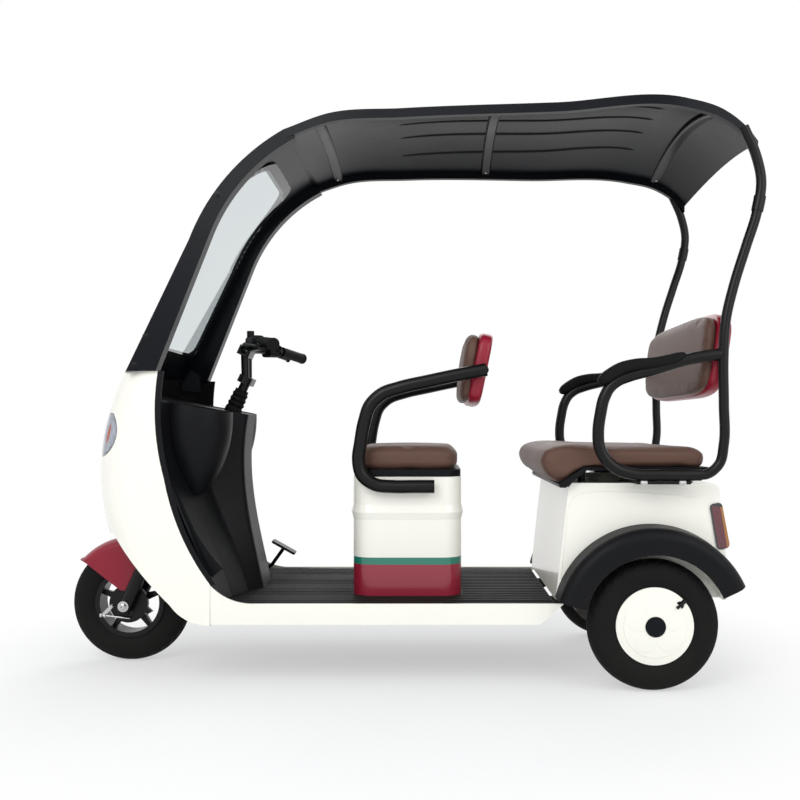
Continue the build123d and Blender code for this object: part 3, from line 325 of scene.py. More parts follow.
tone_group, given, result = new_group(
    "patchy tone",
    [
        ("Colour", "Color", WHITE), ("Patches", "Float", 6.0), ("Darker", "Float", 0.1),
        ("Roughness", "Float", 0.4), ("Spread", "Float", 0.1),
    ],
    PAINTED,
)
place = own_place(tone_group)
broad = noise(tone_group, place, given.outputs["Patches"])
fine = noise(tone_group, place, 90.0, 2.0)
shade = maths(tone_group, "MULTIPLY", broad, given.outputs["Darker"], clamp=True)
dark = fed(tone_group, node(tone_group, "HueSaturation"), Value=0.4, Color=given.outputs["Colour"])
wander = maths(tone_group, "SUBTRACT", maths(tone_group, "ADD", broad, fine), 1.0)
change = maths(tone_group, "MULTIPLY", wander, given.outputs["Spread"])
fed(
    tone_group,
    result,
    Colour=blended(tone_group, shade, given.outputs["Colour"], dark.outputs["Color"]),
    Roughness=maths(tone_group, "ADD", change, given.outputs["Roughness"], clamp=True),
)

dust_group, given, result = new_group(
    "road dust",
    [
        ("Colour", "Color", WHITE), ("Roughness", "Float", 0.4), ("Dust", "Color", (0.3, 0.26, 0.2, 1)),
        ("Height", "Float", 0.3), ("Amount", "Float", 0.3),
    ],
    PAINTED,
)
climb = maths(dust_group, "DIVIDE", own_parts(dust_group)["Z"], given.outputs["Height"], clamp=True)
low = maths(dust_group, "SUBTRACT", 1.0, climb)
cloud = maths(dust_group, "MULTIPLY", noise(dust_group, own_place(dust_group), 22.0, 5.0), low)
share = maths(dust_group, "MULTIPLY", cloud, given.outputs["Amount"], clamp=True)
duller = maths(dust_group, "MULTIPLY", share, 0.5)
fed(
    dust_group,
    result,
    Colour=blended(dust_group, share, given.outputs["Colour"], given.outputs["Dust"]),
    Roughness=maths(dust_group, "ADD", given.outputs["Roughness"], duller, clamp=True),
)

grain_group, given, result = new_group(
    "grain",
    [("Size", "Float", 700.0), ("Cells", "Float", 0.5), ("Creases", "Float", 0.0)],
    [("Height", "Float")],
)
place = own_place(grain_group)
cells = node(grain_group, "TexVoronoi", feature="DISTANCE_TO_EDGE")
fed(grain_group, cells, Vector=place, Scale=given.outputs["Size"])
hollow = maths(grain_group, "MINIMUM", cells.outputs["Distance"], 0.25)
pits = maths(grain_group, "MULTIPLY", hollow, given.outputs["Cells"])
grit = maths(grain_group, "MULTIPLY", noise(grain_group, place, given.outputs["Size"], 2.0), 0.2)
folds = maths(grain_group, "MULTIPLY", noise(grain_group, place, 14.0, 4.0), given.outputs["Creases"])
fed(grain_group, result, Height=maths(grain_group, "ADD", maths(grain_group, "ADD", pits, grit), folds))
print("groups:", [g.name for g in bpy.data.node_groups])


# %% [markdown]
# A finish strings those groups together: colour through the tone, then through the dust, then into the
# Principled shader, which stays in the material itself. Values that are the same all over go on its
# sockets.


# %% A finish
CREAM = (0.97, 0.955, 0.865)


def new_material(name):
    """A material with its node tree and its Principled shader."""
    made = bpy.data.materials.new(name)
    made.use_nodes = True
    return made, made.node_tree, made.node_tree.nodes["Principled BSDF"]


def use_group(tree, group, **values):
    """Places a node group and feeds its inputs."""
    return fed(tree, node(tree, "Group", node_tree=group), **values)


def finish(
    name, colour, rough, spread=0.08, darker=0.25, patches=5.0, grain=(900.0, 0.5, 0.0), bump=0.1,
    dust=0.0, dust_height=0.35, **shader,
):
    """A material: patchy tone, road dust and grain round one Principled shader."""
    made, tree, body = new_material(name)
    tone = use_group(
        tree, tone_group, Colour=(*colour, 1), Patches=patches, Darker=darker, Roughness=rough, Spread=spread
    )
    dirt = use_group(
        tree, dust_group, Colour=tone.outputs["Colour"], Roughness=tone.outputs["Roughness"],
        Height=dust_height, Amount=dust,
    )
    texture = use_group(tree, grain_group, Size=grain[0], Cells=grain[1], Creases=grain[2])
    relief = fed(tree, node(tree, "Bump"), Strength=bump, Distance=0.001, Height=texture.outputs["Height"])
    fed(
        tree, body, Base_Color=dirt.outputs["Colour"], Roughness=dirt.outputs["Roughness"],
        Normal=relief.outputs["Normal"], **shader,
    )
    return made


cream_paint = finish(
    "cream paint", CREAM, 0.3, spread=0.05, darker=0.02, bump=0.02, dust=0.05, dust_height=0.25,
    Coat_Weight=0.6, Coat_Roughness=0.08,
)
crimson = finish(
    "crimson moulding", (0.30, 0.010, 0.030), 0.36, darker=0.1, bump=0.03, dust=0.02,
    Specular_IOR_Level=0.3, Coat_Weight=0.15, Coat_Roughness=0.2,
)
black_moulding = finish(
    "black moulding", (0.0062, 0.0066, 0.0078), 0.42, spread=0.12, grain=(1100.0, 0.8, 0.0), bump=0.14,
    dust=0.02, Specular_IOR_Level=0.12,
)
canopy_black = finish(
    "canopy moulding", (0.0052, 0.0062, 0.0088), 0.3, grain=(700.0, 0.4, 0.3), bump=0.06,
    Specular_IOR_Level=0.12,
)
tube_black = finish(
    "black tube enamel", (0.0045, 0.0045, 0.005), 0.3, spread=0.1, bump=0.03, dust=0.02,
    Specular_IOR_Level=0.22,
)
foam_black = finish(
    "black foam", (0.006, 0.006, 0.006), 0.66, grain=(1500.0, 1.0, 0.1), bump=0.3, Specular_IOR_Level=0.12
)
rubber_black = finish(
    "tyre rubber", (0.0066, 0.0067, 0.0068), 0.66, spread=0.1, grain=(1400.0, 0.6, 0.2), bump=0.22,
    dust=0.03, dust_height=0.4, Specular_IOR_Level=0.12,
)
floor_rubber = finish(
    "floor mat rubber", (0.008, 0.008, 0.0085), 0.6, spread=0.12, grain=(1200.0, 0.8, 0.0), bump=0.25,
    dust=0.03, dust_height=0.9, Specular_IOR_Level=0.1,
)
leathercloth = finish(
    "brown leathercloth", (0.118, 0.060, 0.042), 0.52, spread=0.1, darker=0.12, grain=(620.0, 1.0, 0.5),
    bump=0.42, Specular_IOR_Level=0.3, Sheen_Weight=0.05, Sheen_Roughness=0.5,
)
steel = finish("bright steel", (0.6, 0.6, 0.6), 0.28, spread=0.1, bump=0.03, dust=0.2, Metallic=1.0)
casting = finish("painted casting", (0.03, 0.03, 0.032), 0.5, grain=(500.0, 0.3, 0.4), bump=0.4, dust=0.6)
print(len(bpy.data.materials), "finishes")

# %% [markdown]
# ## Paint the CAD nodes
#
# Nodes whose shape is right keep their meshes and only get a finish, through their material slots.


# %% Finishes on the CAD nodes
def paint(obj, made):
    """Gives an object one finish."""
    if obj.material_slots:
        for place in obj.material_slots:
            place.material = made
    else:
        obj.data.materials.append(made)
    return obj


def dressed(obj, coat, body, replaced=None):
    """Paints an object and lets it ride on a body.
    Where it stands in place of a CAD node, that node is hidden."""
    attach(paint(obj, coat), body)
    if replaced:
        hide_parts(replaced)
    return obj


COATS = [
    (cream_paint, "side_skirts front_fairing rear_body seat_bin rear_rim_left rear_rim_right"),
    (crimson, "rear_backrest_shell driver_backrest_shell front_mudguard"),
    (black_moulding, "fairing_trim dash_panel rear_fenders battery_pack control_housings"),
    (black_moulding, "driver_seat_pan rear_seat_pan"),
    (canopy_black, "windscreen_frame roof_panel"),
    (tube_black, "rear_post_left rear_post_right armrest_loop_left armrest_loop_right roof_bars driver_bars"),
    (tube_black, "chassis_frame bench_supports leaf_springs brake_pedal fork handlebar front_rim"),
    (foam_black, "steering_boot armrest_pads grips"),
    (rubber_black, "front_tyre rear_tyre_left rear_tyre_right"),
    (floor_rubber, "floor_pan"),
    (leathercloth, "rear_backrest_pad driver_backrest_pad driver_cushion rear_cushion"),
    (casting, "rear_axle"),
]
for coat, names in COATS:
    for name in names.split():
        paint(nodes[name], coat)
print(sum(len(names.split()) for _, names in COATS), "nodes painted")

# %% [markdown]
# ## Glass and lamps
#
# The windscreen is a bent, lightly tinted pane. Clear plastic and glass pass light through, so their colour
# is a tint on what stands behind them. A photograph pasted on would be wrong from every other side.


# %% Glass
def glass(name, tint, rough):
    """A tinted clear material; its gloss comes from the shader alone."""
    made, tree, body = new_material(name)
    smear = maths(tree, "MULTIPLY", noise(tree, own_place(tree), 9.0, 4.0), rough)
    fed(
        tree, body, Base_Color=(*tint, 1), Transmission_Weight=1.0, IOR=1.45,
        Roughness=maths(tree, "ADD", smear, 0.01),
    )
    return made


red_lens = finish(
    "smoked red lens", (0.11, 0.008, 0.012), 0.14, spread=0.04, darker=0.4, patches=30.0, bump=0.02,
    Coat_Weight=1.0, Coat_Roughness=0.04,
)
paint(nodes["windscreen"], glass("window glass", (0.60, 0.655, 0.665), 0.03))
paint(nodes["headlamps"], glass("clear lens", (0.95, 0.96, 0.97), 0.05))
paint(nodes["tail_lamps"], red_lens)
print("glass ready")

# %% [markdown]
# ## What shows through the lamps
#
# A headlamp is a clear lens over a bright reflector with an orange indicator strip. The core is a copy of
# the lens, merged and drawn in along its normals, so a few millimetres of clear plastic stay in front of
# it. The tail lamp's lens is smoked red with a dark rim and an amber rear edge, which are bands along its
# lean. Its upright ribs are painted as lighter and darker red stripes: a painted highlight and painted shade
# for each rib.


# %% Lamp cores and lens bands
def read_points(mesh, what="co"):
    """The mesh's points, or another vector of each point, as an array."""
    flat = np.empty(len(mesh.vertices) * 3)
    mesh.vertices.foreach_get(what, flat)
    return flat.reshape(-1, 3)


def core_of(name, carrier, depth):
    """Each point of a copied CAD mesh moved inwards by depth against its normal."""
    mesh = nodes[carrier].data.copy()
    core = placed(name, mesh)
    outward(core)
    mesh.vertices.foreach_set("co", (read_points(mesh) - depth * read_points(mesh, "normal")).ravel())
    mesh.materials.clear()
    mesh.update()
    return core


def measured(tree, terms, start):
    """start plus each factor times a coordinate; Y counts from the middle plane outwards."""
    parts = own_parts(tree)
    total = start
    for letter, factor in terms.items():
        value = parts[letter]
        if letter == "Y":
            value = maths(tree, "ABSOLUTE", value)
        total = maths(tree, "ADD", maths(tree, "MULTIPLY", value, factor), total)
    return total


def tone_node(made):
    """The patchy tone group inside a finish."""
    return next(n for n in made.node_tree.nodes if n.type == "GROUP" and n.node_tree == tone_group)


LAMP_X, LAMP_Y, LAMP_Z, LAMP_TURN = 0.835, 0.290, 0.716, np.radians(48)
STRIP_OFF, STRIP_HALF, STRIP_TALL, STRIP_LEAN = 0.0185, 0.0075, 0.031, 0.2
SILVER, ORANGE = (0.62, 0.66, 0.75), (0.75, 0.12, 0.02, 1)
reflector = finish(
    "lamp reflector", SILVER, 0.16, spread=0.1, darker=0.6, patches=70.0, grain=(190.0, 1.0, 0.0),
    bump=0.8, Metallic=0.85,
)
tree = reflector.node_tree
sine, cosine = float(np.sin(LAMP_TURN)), float(np.cos(LAMP_TURN))
lamp_middle = sine * LAMP_X - cosine * LAMP_Y + STRIP_LEAN * LAMP_Z - STRIP_OFF
strip_line = measured(tree, {"X": -sine, "Y": cosine, "Z": -STRIP_LEAN}, lamp_middle)
strip_share = maths(tree, "DIVIDE", maths(tree, "ABSOLUTE", strip_line), STRIP_HALF)
climb = maths(tree, "DIVIDE", measured(tree, {"Z": 1.0}, -LAMP_Z), STRIP_TALL)
strip_reach = maths(tree, "POWER", climb, 2.0)
inside = maths(tree, "LESS_THAN", maths(tree, "ADD", strip_share, strip_reach), 1.0)
fed(tree, tone_node(reflector), Colour=blended(tree, inside, (*SILVER, 1), ORANGE))
headlamp_core = core_of("headlamp_reflectors", "headlamps", 0.0035)
dressed(headlamp_core, reflector, "chassis")

TAIL_X, TAIL_Z, TAIL_LEAN = 0.908, 0.388, 0.169
LENS_X, LENS_Z, LENS_SLOPE, LENS_HALF = 0.915, 0.4535, 0.12, 0.0575
AMBER_FROM, DARK_FROM, RIBS_PER_M = -0.0295, -0.0045, 900.0
tree = red_lens.node_tree
lean = measured(tree, {"X": 1.0, "Z": -TAIL_LEAN}, TAIL_X + TAIL_LEAN * TAIL_Z)
# Painted highlight and painted shade of the lens ribs: a sine wave along the lean gives lighter and darker
# red stripes.
wave = maths(tree, "SINE", maths(tree, "MULTIPLY", lean, RIBS_PER_M))
rib = maths(tree, "MULTIPLY", maths(tree, "ADD", wave, 1.0), 0.5)
painted_rib_shading = blended(tree, rib, (0.20, 0.012, 0.03, 1), (0.05, 0.01, 0.015, 1))
amber = blended(tree, maths(tree, "LESS_THAN", lean, AMBER_FROM), painted_rib_shading, (0.42, 0.16, 0.02, 1))
climb = maths(tree, "ABSOLUTE", measured(tree, {"Z": 1.0, "X": -LENS_SLOPE}, -LENS_Z - LENS_SLOPE * LENS_X))
ends = maths(tree, "GREATER_THAN", climb, LENS_HALF)
rim_share = maths(tree, "MAXIMUM", ends, maths(tree, "GREATER_THAN", lean, DARK_FROM))
fed(tree, tone_node(red_lens), Colour=blended(tree, rim_share, amber, (0.012, 0.012, 0.013, 1)))
print("lamp cores ready,", len(headlamp_core.data.polygons), "faces")

# %% [markdown]
# ## The bin's painted bands
#
# The driver's bin is cream with a crimson foot and a green stripe above it. The bands are level, so the
# height in Object coordinates picks the colour. Cutting the mesh would also work, but the CAD mesh stays
# untouched.

# %% Banded bin paint
BAND_TOP, STRIPE_TOP = 0.330, 0.351
BAND_CRIMSON, STRIPE_GREEN = (0.31, 0.012, 0.035, 1), (0.01, 0.2, 0.14, 1)
bin_paint = finish(
    "banded bin paint", CREAM, 0.3, spread=0.05, darker=0.03, bump=0.02, Coat_Weight=0.6, Coat_Roughness=0.08
)
tree = bin_paint.node_tree
height = own_parts(tree)["Z"]
stripe = blended(tree, maths(tree, "GREATER_THAN", height, BAND_TOP), BAND_CRIMSON, STRIPE_GREEN)
bands = blended(tree, maths(tree, "GREATER_THAN", height, STRIPE_TOP), stripe, (*CREAM, 1))
fed(tree, tone_node(bin_paint), Colour=bands)
paint(nodes["seat_bin"], bin_paint)
print("bands up to", STRIPE_TOP)

# %% [markdown]
# ## Tyres
#
# A 3.00-8 tyre has a rounded casing, raised rings on its walls and shallow grooves in its tread. The tread
# is a function of two parameters, the angle round the wheel and the distance across the crown, so the
# grooves are pressed straight into the surface. A bump texture would look flat at the tyre's outline.

# %% Tyre surface
WHEEL_R, WHEEL_Z = 0.184, 0.184
FRONT_X, REAR_X, REAR_Y = 0.846, -0.72, 0.36
BEAD_R, CROWN_R, TREAD_DEPTH = 0.103, 0.166, 0.0034
HALF_OUTLINE = [
    (BEAD_R, 0.0305), (0.112, 0.034), (0.128, 0.0392), (0.146, 0.040), (0.160, 0.0372), (0.1745, 0.0295),
    (0.1812, 0.0165),
]


def bump_at(value, middle, width):
    """A bell curve round a middle value: exp(-((value - middle) / width)^2)."""
    return np.exp(-(((value - middle) / width) ** 2))


def tyre_surface(name, x, y):
    """Outline: bead, wall and crown points turned about the axle.
    Crown grooves: two rings, and slanted cuts near the shoulders.
    Walls: two raised lines and a ring of ticks."""
    far_half = [(r, -w) for r, w in HALF_OUTLINE]
    outline = line_through([*far_half, (WHEEL_R, 0), *HALF_OUTLINE[::-1]], 96)
    inner = np.array([[BEAD_R, 0.026], [0.12, 0.028], [0.12, -0.028], [BEAD_R, -0.026]])
    outline = np.concatenate([outline, inner])
    angle = np.linspace(0, 2 * np.pi, 480, endpoint=False)[:, None]
    radius, across_crown = outline[None, :, 0], outline[None, :, 1]
    off_middle, side = np.abs(across_crown), np.sign(across_crown)
    crown = np.clip((radius - CROWN_R) / 0.006, 0, 1)
    slant = np.sin(30 * angle + off_middle * 260 + side * 0.9)
    cuts = np.clip((slant - 0.86) / 0.1, 0, 1) * np.clip((off_middle - 0.012) / 0.002, 0, 1)
    depth = TREAD_DEPTH * crown * np.maximum(bump_at(off_middle, 0.0085, 0.0017), cuts)
    wall = off_middle > 0.033
    lines = 0.0009 * wall * (bump_at(radius, 0.119, 0.0012) + bump_at(radius, 0.158, 0.0014))
    ticks = 0.0005 * wall * (np.sin(180 * angle) > 0) * bump_at(radius, 0.151, 0.003)
    turn_radius = radius - depth
    bulge = across_crown + side * (lines + ticks)
    points = np.stack(
        [x + turn_radius * np.cos(angle), y + bulge + 0 * angle, WHEEL_Z + turn_radius * np.sin(angle)], 2
    )
    return outward(surface(name, points, close_rows=True, close_columns=True), 50)


for label, x, y, body, replaced in (
    ("front", FRONT_X, 0, "front_wheel", "front_tyre"),
    ("rear_left", REAR_X, REAR_Y, "rear_wheel_left", "rear_tyre_left"),
    ("rear_right", REAR_X, -REAR_Y, "rear_wheel_right", "rear_tyre_right"),
):
    tyre = dressed(tyre_surface(f"{label}_tyre_tread", x, y), rubber_black, body, replaced)
    print(tyre.name, len(tyre.data.polygons), "faces")

# %% [markdown]
# ## Rear wheel covers
#
# Each rear wheel shows a domed cream cover with five faint petals pressed into it and a black cap in the
# middle. The dome is a height over radius and angle, and the petals are a small wave of the angle that
# fades out at the hub and at the rim.

# %% Wheel covers and caps
PETALS, COVER_R, FACE_Y = 5, 0.104, 0.0395


def wheel_cover(name, side):
    """A dome 7 mm high with a flat outer ring, one step lower.
    Petals: 1.1 mm lower where the radius passes a curve of |sin(2.5 angle)|."""
    radius = np.concatenate([np.linspace(0.026, 0.100, 46), [0.1035, 0.106, 0.1075, 0.1078, 0.106]])[:, None]
    angle = np.linspace(0, 2 * np.pi, 240, endpoint=False)[None]
    step = np.clip((0.0905 - radius) / 0.005, 0, 1)
    bowl = 0.007 * (1 - (np.clip(radius, 0, COVER_R) / COVER_R) ** 2.4)
    dome = 0.0365 + bowl + 0.0028 * step * step * (3 - 2 * step)
    wave = np.abs(np.sin(PETALS / 2 * (angle + 0.35)))
    reach = 0.036 + 0.046 * wave**0.8
    petal = 1 / (1 + np.exp(-(radius - reach) / 0.0016))
    fade = np.clip((0.087 - radius) / 0.004, 0, 1)
    rim = np.where(radius > 0.1072, 0.010, 0) + np.where(radius > 0.1034, 0.0012, 0)
    rise = side * (dome - 0.0011 * petal * fade - rim)
    points = np.stack(
        [REAR_X + radius * np.cos(angle), side * REAR_Y + rise, WHEEL_Z + radius * np.sin(angle)], 2
    )
    cover = outward(surface(name, points, close_columns=True), 50)
    if cover.data.polygons[0].normal[1] * side < 0:
        cover.data.flip_normals()
    return cover


def hub_face(side):
    """The middle of a rear wheel's outer face."""
    return np.array([REAR_X, side * (REAR_Y + FACE_Y), WHEEL_Z])


cap_profile = [
    (0.0, 0.0), (0.0285, 0.0), (0.0285, 0.0075), (0.027, 0.0095), (0.0235, 0.0102), (0.0225, 0.0095),
    (0.012, 0.0112), (0.0, 0.0116),
]
for side, place in SIDES:
    dressed(wheel_cover(f"wheel_cover_{place}", side), cream_paint, f"rear_wheel_{place}")
    cap = turned(f"wheel_cap_{place}", cap_profile, hub_face(side), (0, side, 0), 64)
    dressed(cap, canopy_black, f"rear_wheel_{place}")
print("covers on both rear wheels")

# %% [markdown]
# The valve comes out through a keyhole in the cover. A black disc in the keyhole, painted shade for the
# dark inside of the hole, and a bent rubber stem break the cream disc.

# %% Valves
VALVE_TURN, VALVE_R = np.radians(139.4), 0.0905
spoke = np.array([np.cos(VALVE_TURN), 0, np.sin(VALVE_TURN)])
# The keyhole is a black disc in the cover: painted shade for the dark inside of the hole.
keyhole_shade_profile = in_mm([(11.0, -4.0), (11.0, 0.7), (10.2, 1.1), (9.2, 0.6), (0, 0.5)])
tip_profile = in_mm([(4.4, 0), (4.6, 1), (4.6, 7), (3.6, 8.4), (0, 8.6)])
neck_section = [(-0.0065, -0.003), (0.0065, -0.003), (0.006, 0.0014), (-0.006, 0.0014)]
NECK_LINE = ((0.094, -0.001), (0.102, 0.0), (0.112, -0.002))
STEM_LINE = ((0.111, 0.0), (0.1, 0.0042), (0.09, 0.0038), (0.0835, 0.0032))
for side, place in SIDES:
    outwards, hub = np.array([0, side, 0]), hub_face(side)
    neck_line, stem_line = (
        line_through([hub + r * spoke + h * outwards for r, h in line], count)
        for line, count in ((NECK_LINE, 12), (STEM_LINE, 24))
    )
    pieces = [
        turned("well", keyhole_shade_profile, hub + VALVE_R * spoke, outwards, 40),
        carried("neck", neck_line, neck_section, up=outwards),
        carried("stem", stem_line, round_section(0.0034), up=outwards),
        turned("tip", tip_profile, hub + 0.0865 * spoke + 0.0036 * outwards, -spoke, 20),
    ]
    dressed(joined(f"valve_{place}", pieces), tube_black, f"rear_wheel_{place}")
print("valves at radius", 1000 * VALVE_R, "mm")

# %% [markdown]
# ## Cushions
#
# The seats are foam under brown leathercloth: crowned on top, drawn in between their corners, and tight. A
# plain rounded box reads as plastic. So each cushion starts a little small, is remeshed evenly, and is
# blown up by Blender's cloth solver for twenty frames. The result is kept as a mesh, so no solver runs
# later.


# %% Blow up a cushion
def settled_mesh(obj):
    """A mesh with the object's modifiers worked into it."""
    return bpy.data.meshes.new_from_object(obj.evaluated_get(bpy.context.evaluated_depsgraph_get()))


def stuffed(obj, voxel, cap, pressure=4.0, frames=20):
    """Remeshes evenly, inflates as cloth, and lets no point move further than cap."""
    remesh = obj.modifiers.new("even", "REMESH")
    remesh.mode = "VOXEL"
    remesh.voxel_size = voxel
    even = settled_mesh(obj)
    obj.modifiers.clear()
    obj.data = even
    start = read_points(even)
    settings = obj.modifiers.new("inflate", "CLOTH").settings
    settings.quality = 4
    settings.use_pressure = True
    settings.uniform_pressure_force = pressure
    settings.effector_weights.gravity = 0
    settings.tension_stiffness = settings.compression_stiffness = 30
    settings.bending_stiffness = 2
    for moment in range(1, frames + 1):
        bpy.context.scene.frame_set(moment)
    moved = read_points(settled_mesh(obj)) - start
    far = np.linalg.norm(moved, axis=1)
    moved *= np.minimum(1, cap / np.maximum(far, 1e-9))[:, None]
    obj.modifiers.clear()
    even.vertices.foreach_set("co", (start + moved).ravel())
    bpy.context.scene.frame_set(1)
    even.update()
    even.shade_smooth()
    return obj


print("inflating is", "on")


# %% [markdown]
# The driver's cushion is a rounded rectangle seen from above. Its outline is a superellipse, which is a
# circle whose coordinates are raised to a power, and the same outline shrinks towards the top and the
# bottom.


# %% A pillow between two faces
def pillow(half_u, half_v, thick, edge, power=6.0, crown=0.0, rings=14, around=128):
    """Rows from the middle of the bottom, over the rounded edge, to the middle of the top.
    Outline: |u/half_u|^power + |v/half_v|^power = 1.
    Height: flat below, crown times (1 - u^2)(1 - v^2) on top."""
    angle = np.linspace(0, 2 * np.pi, around, endpoint=False)
    c, s = np.cos(angle), np.sin(angle)
    unit = np.stack([np.sign(c) * np.abs(c) ** (2 / power), np.sign(s) * np.abs(s) ** (2 / power)], 1)
    turn = np.linspace(-np.pi / 2, np.pi / 2, rings)
    spread = np.concatenate([np.linspace(0.02, 0.85, 8), [0.93]])
    scale = np.concatenate([spread, np.ones(rings), spread[::-1]])
    flat_inset = np.full(len(spread), edge)
    inset = np.concatenate([flat_inset, edge * (1 - np.cos(turn)), flat_inset])
    rounded = np.where(turn < 0, edge * (1 + np.sin(turn)), thick - edge * (1 - np.sin(turn)))
    level = np.concatenate([np.zeros(len(spread)), rounded, np.full(len(spread), thick)])
    half = np.array([half_u, half_v])
    flat = scale[:, None, None] * unit[None] * (half - inset[:, None, None])
    share = flat / half
    dome = crown * np.clip(1 - share[..., 0] ** 2, 0, 1) * np.clip(1 - share[..., 1] ** 2, 0, 1)
    top = (level / thick)[:, None]
    return np.concatenate([flat, (level[:, None] + dome * top)[..., None]], 2)


def laid(points, origin, u, v):
    """Local (u, v, height) points put in place: origin plus u and v directions, with height along u x v."""
    u, v = np.asarray(u, float), np.asarray(v, float)
    return np.asarray(origin) + points[..., :1] * u + points[..., 1:2] * v + points[..., 2:] * np.cross(u, v)


def cushion(name, points, body, replaced, voxel, cap):
    """A padded leathercloth piece in place of its CAD node."""
    obj = outward(surface(name, points, close_columns=True, cap_ends=True), 180)
    dressed(stuffed(obj, voxel, cap), leathercloth, body, replaced)
    print(name, len(obj.data.polygons), "faces")


low, high = (np.array(corner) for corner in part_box("driver_cushion"))
span = high - low
seat = pillow(span[0] / 2 - 0.004, span[1] / 2 - 0.004, span[2] - 0.008, 0.022, crown=0.006)
seat = laid(seat, ((low[0] + high[0]) / 2, 0, low[2] + 0.001), (1, 0, 0), (0, 1, 0))
cushion("driver_seat_cushion", seat, "driver_seat", "driver_cushion", 0.006, 0.007)

# %% [markdown]
# The bench cushion has a side view of its own: a thick front lip rolls down over the body. So its grid is
# that side outline carried across the bench, and the outline shrinks towards both ends to round them.

# %% Bench cushion
BENCH_SIDE = [
    (-0.530, 0.6245), (-0.500, 0.606), (-0.470, 0.585), (-0.452, 0.582), (-0.432, 0.590), (-0.413, 0.612),
    (-0.405, 0.640), (-0.416, 0.664), (-0.440, 0.675), (-0.470, 0.680), (-0.520, 0.681), (-0.600, 0.677),
    (-0.700, 0.675), (-0.800, 0.673), (-0.855, 0.670), (-0.872, 0.660), (-0.875, 0.645), (-0.870, 0.628),
    (-0.800, 0.6245), (-0.650, 0.6245),
]
BENCH_HALF, END_ROUND = 0.368, 0.030
closed_side = line_through([*BENCH_SIDE, BENCH_SIDE[0]], 121)[:-1]
rounded_end = -BENCH_HALF + END_ROUND * (1 - np.cos(np.linspace(0, np.pi / 2, 9)))
across_bench = np.concatenate([rounded_end, np.linspace(-0.32, 0.32, 41), -rounded_end[::-1]])
near_end = np.clip((np.abs(across_bench) - (BENCH_HALF - END_ROUND)) / END_ROUND, 0, 1)
shrink = END_ROUND * 0.8 * (1 - np.sqrt(1 - near_end**2))
middle = np.array([-0.64, 0.648])
drawn_in = middle + (closed_side - middle)[None] * (1 - shrink[:, None, None] / np.array([0.23, 0.05]))
bench_y = np.broadcast_to(across_bench[:, None], drawn_in.shape[:2])
bench_points = np.stack([drawn_in[..., 0], bench_y, drawn_in[..., 1]], 2)
cushion("bench_cushion", bench_points, "rear_seat", "rear_cushion", 0.0075, 0.007)

# %% [markdown]
# ## Backrests
#
# Both backrests are a brown pad in front of a crimson moulded shell. The pad is the same pillow as the
# seat, stood up and leaned back, a little thicker in the middle than at its edge.

# %% Backrest pads and shells
for name, replaced, thick in (
    ("driver_back_pad", "driver_backrest_pad", 0.030),
    ("bench_back_pad", "rear_backrest_pad", 0.026),
):
    low, high = (np.array(corner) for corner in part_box(replaced))
    half_wide = (high[1] - low[1]) / 2
    lean = np.array([-(high[0] - low[0] - thick), 0, high[2] - low[2]])
    tall = np.linalg.norm(lean)
    lean /= tall
    centre = (low + high) / 2 - np.array([thick / 2, 0, 0])
    pad = pillow(half_wide - 0.005, tall / 2 - 0.003, thick, 0.011, power=5.0, crown=0.008)
    cushion(name, laid(pad, centre, (0, 1, 0), lean), "chassis", replaced, 0.006, 0.006)
    back_lean = lean + np.array([-0.07, 0, 0])
    back_lean /= np.linalg.norm(back_lean)
    back = centre - 0.036 * np.cross((0, 1, 0), lean)
    shell = pillow(half_wide - 0.001, tall / 2 + 0.001, 0.040, 0.012, power=5.0, crown=0.002)
    shell = laid(shell, back, (0, 1, 0), back_lean)
    shell = outward(surface(name.replace("pad", "shell"), shell, close_columns=True, cap_ends=True), 60)
    dressed(shell, crimson, "chassis", replaced.replace("pad", "shell"))

# %% [markdown]
# ## Posts, armrest loops and pads
#
# The tubes that carry the roof and the armrests are bent in long smooth curves. Each is a round section
# carried along a line through a few points of its centre, so the curve keeps changing instead of joining
# straight runs. The armrest pads are soft foam mouldings, so they are padded pieces with an oval section
# that narrows at its ends.

# %% Roof posts and armrest loops
TUBE_Y = 0.403
POST_LINE = [
    (-0.964, 1.566), (-0.997, 1.49), (-1.012, 1.42), (-1.0, 1.33), (-0.970, 1.235), (-0.937, 1.13),
    (-0.914, 1.03), (-0.908, 0.93), (-0.909, 0.80), (-0.909, 0.69), (-0.896, 0.634), (-0.862, 0.606),
    (-0.832, 0.604),
]
LOOP_LINE = [
    (-0.902, 0.938), (-0.827, 0.927), (-0.719, 0.896), (-0.65, 0.878), (-0.617, 0.865), (-0.594, 0.846),
    (-0.579, 0.8185), (-0.568, 0.772), (-0.562, 0.725), (-0.565, 0.683), (-0.583, 0.647), (-0.614, 0.6205),
    (-0.652, 0.608), (-0.749, 0.604), (-0.846, 0.604),
]
PAD_LINE = [
    (-0.562, 0.857), (-0.594, 0.880), (-0.625, 0.898), (-0.664, 0.908), (-0.711, 0.912), (-0.757, 0.921),
    (-0.806, 0.936),
]
COLLAR_FROM, COLLAR_TO = 29, 36


def side_line(points, y, count):
    """A smooth line through points of a side view, at a constant distance from the middle plane."""
    return line_through([(x, y, z) for x, z in points], count)


def side_tube(name, points, y, count, section, **shape):
    """A section carried along a line of the side view."""
    return carried(name, side_line(points, y, count), section, up=(0, 1, 0), **shape)


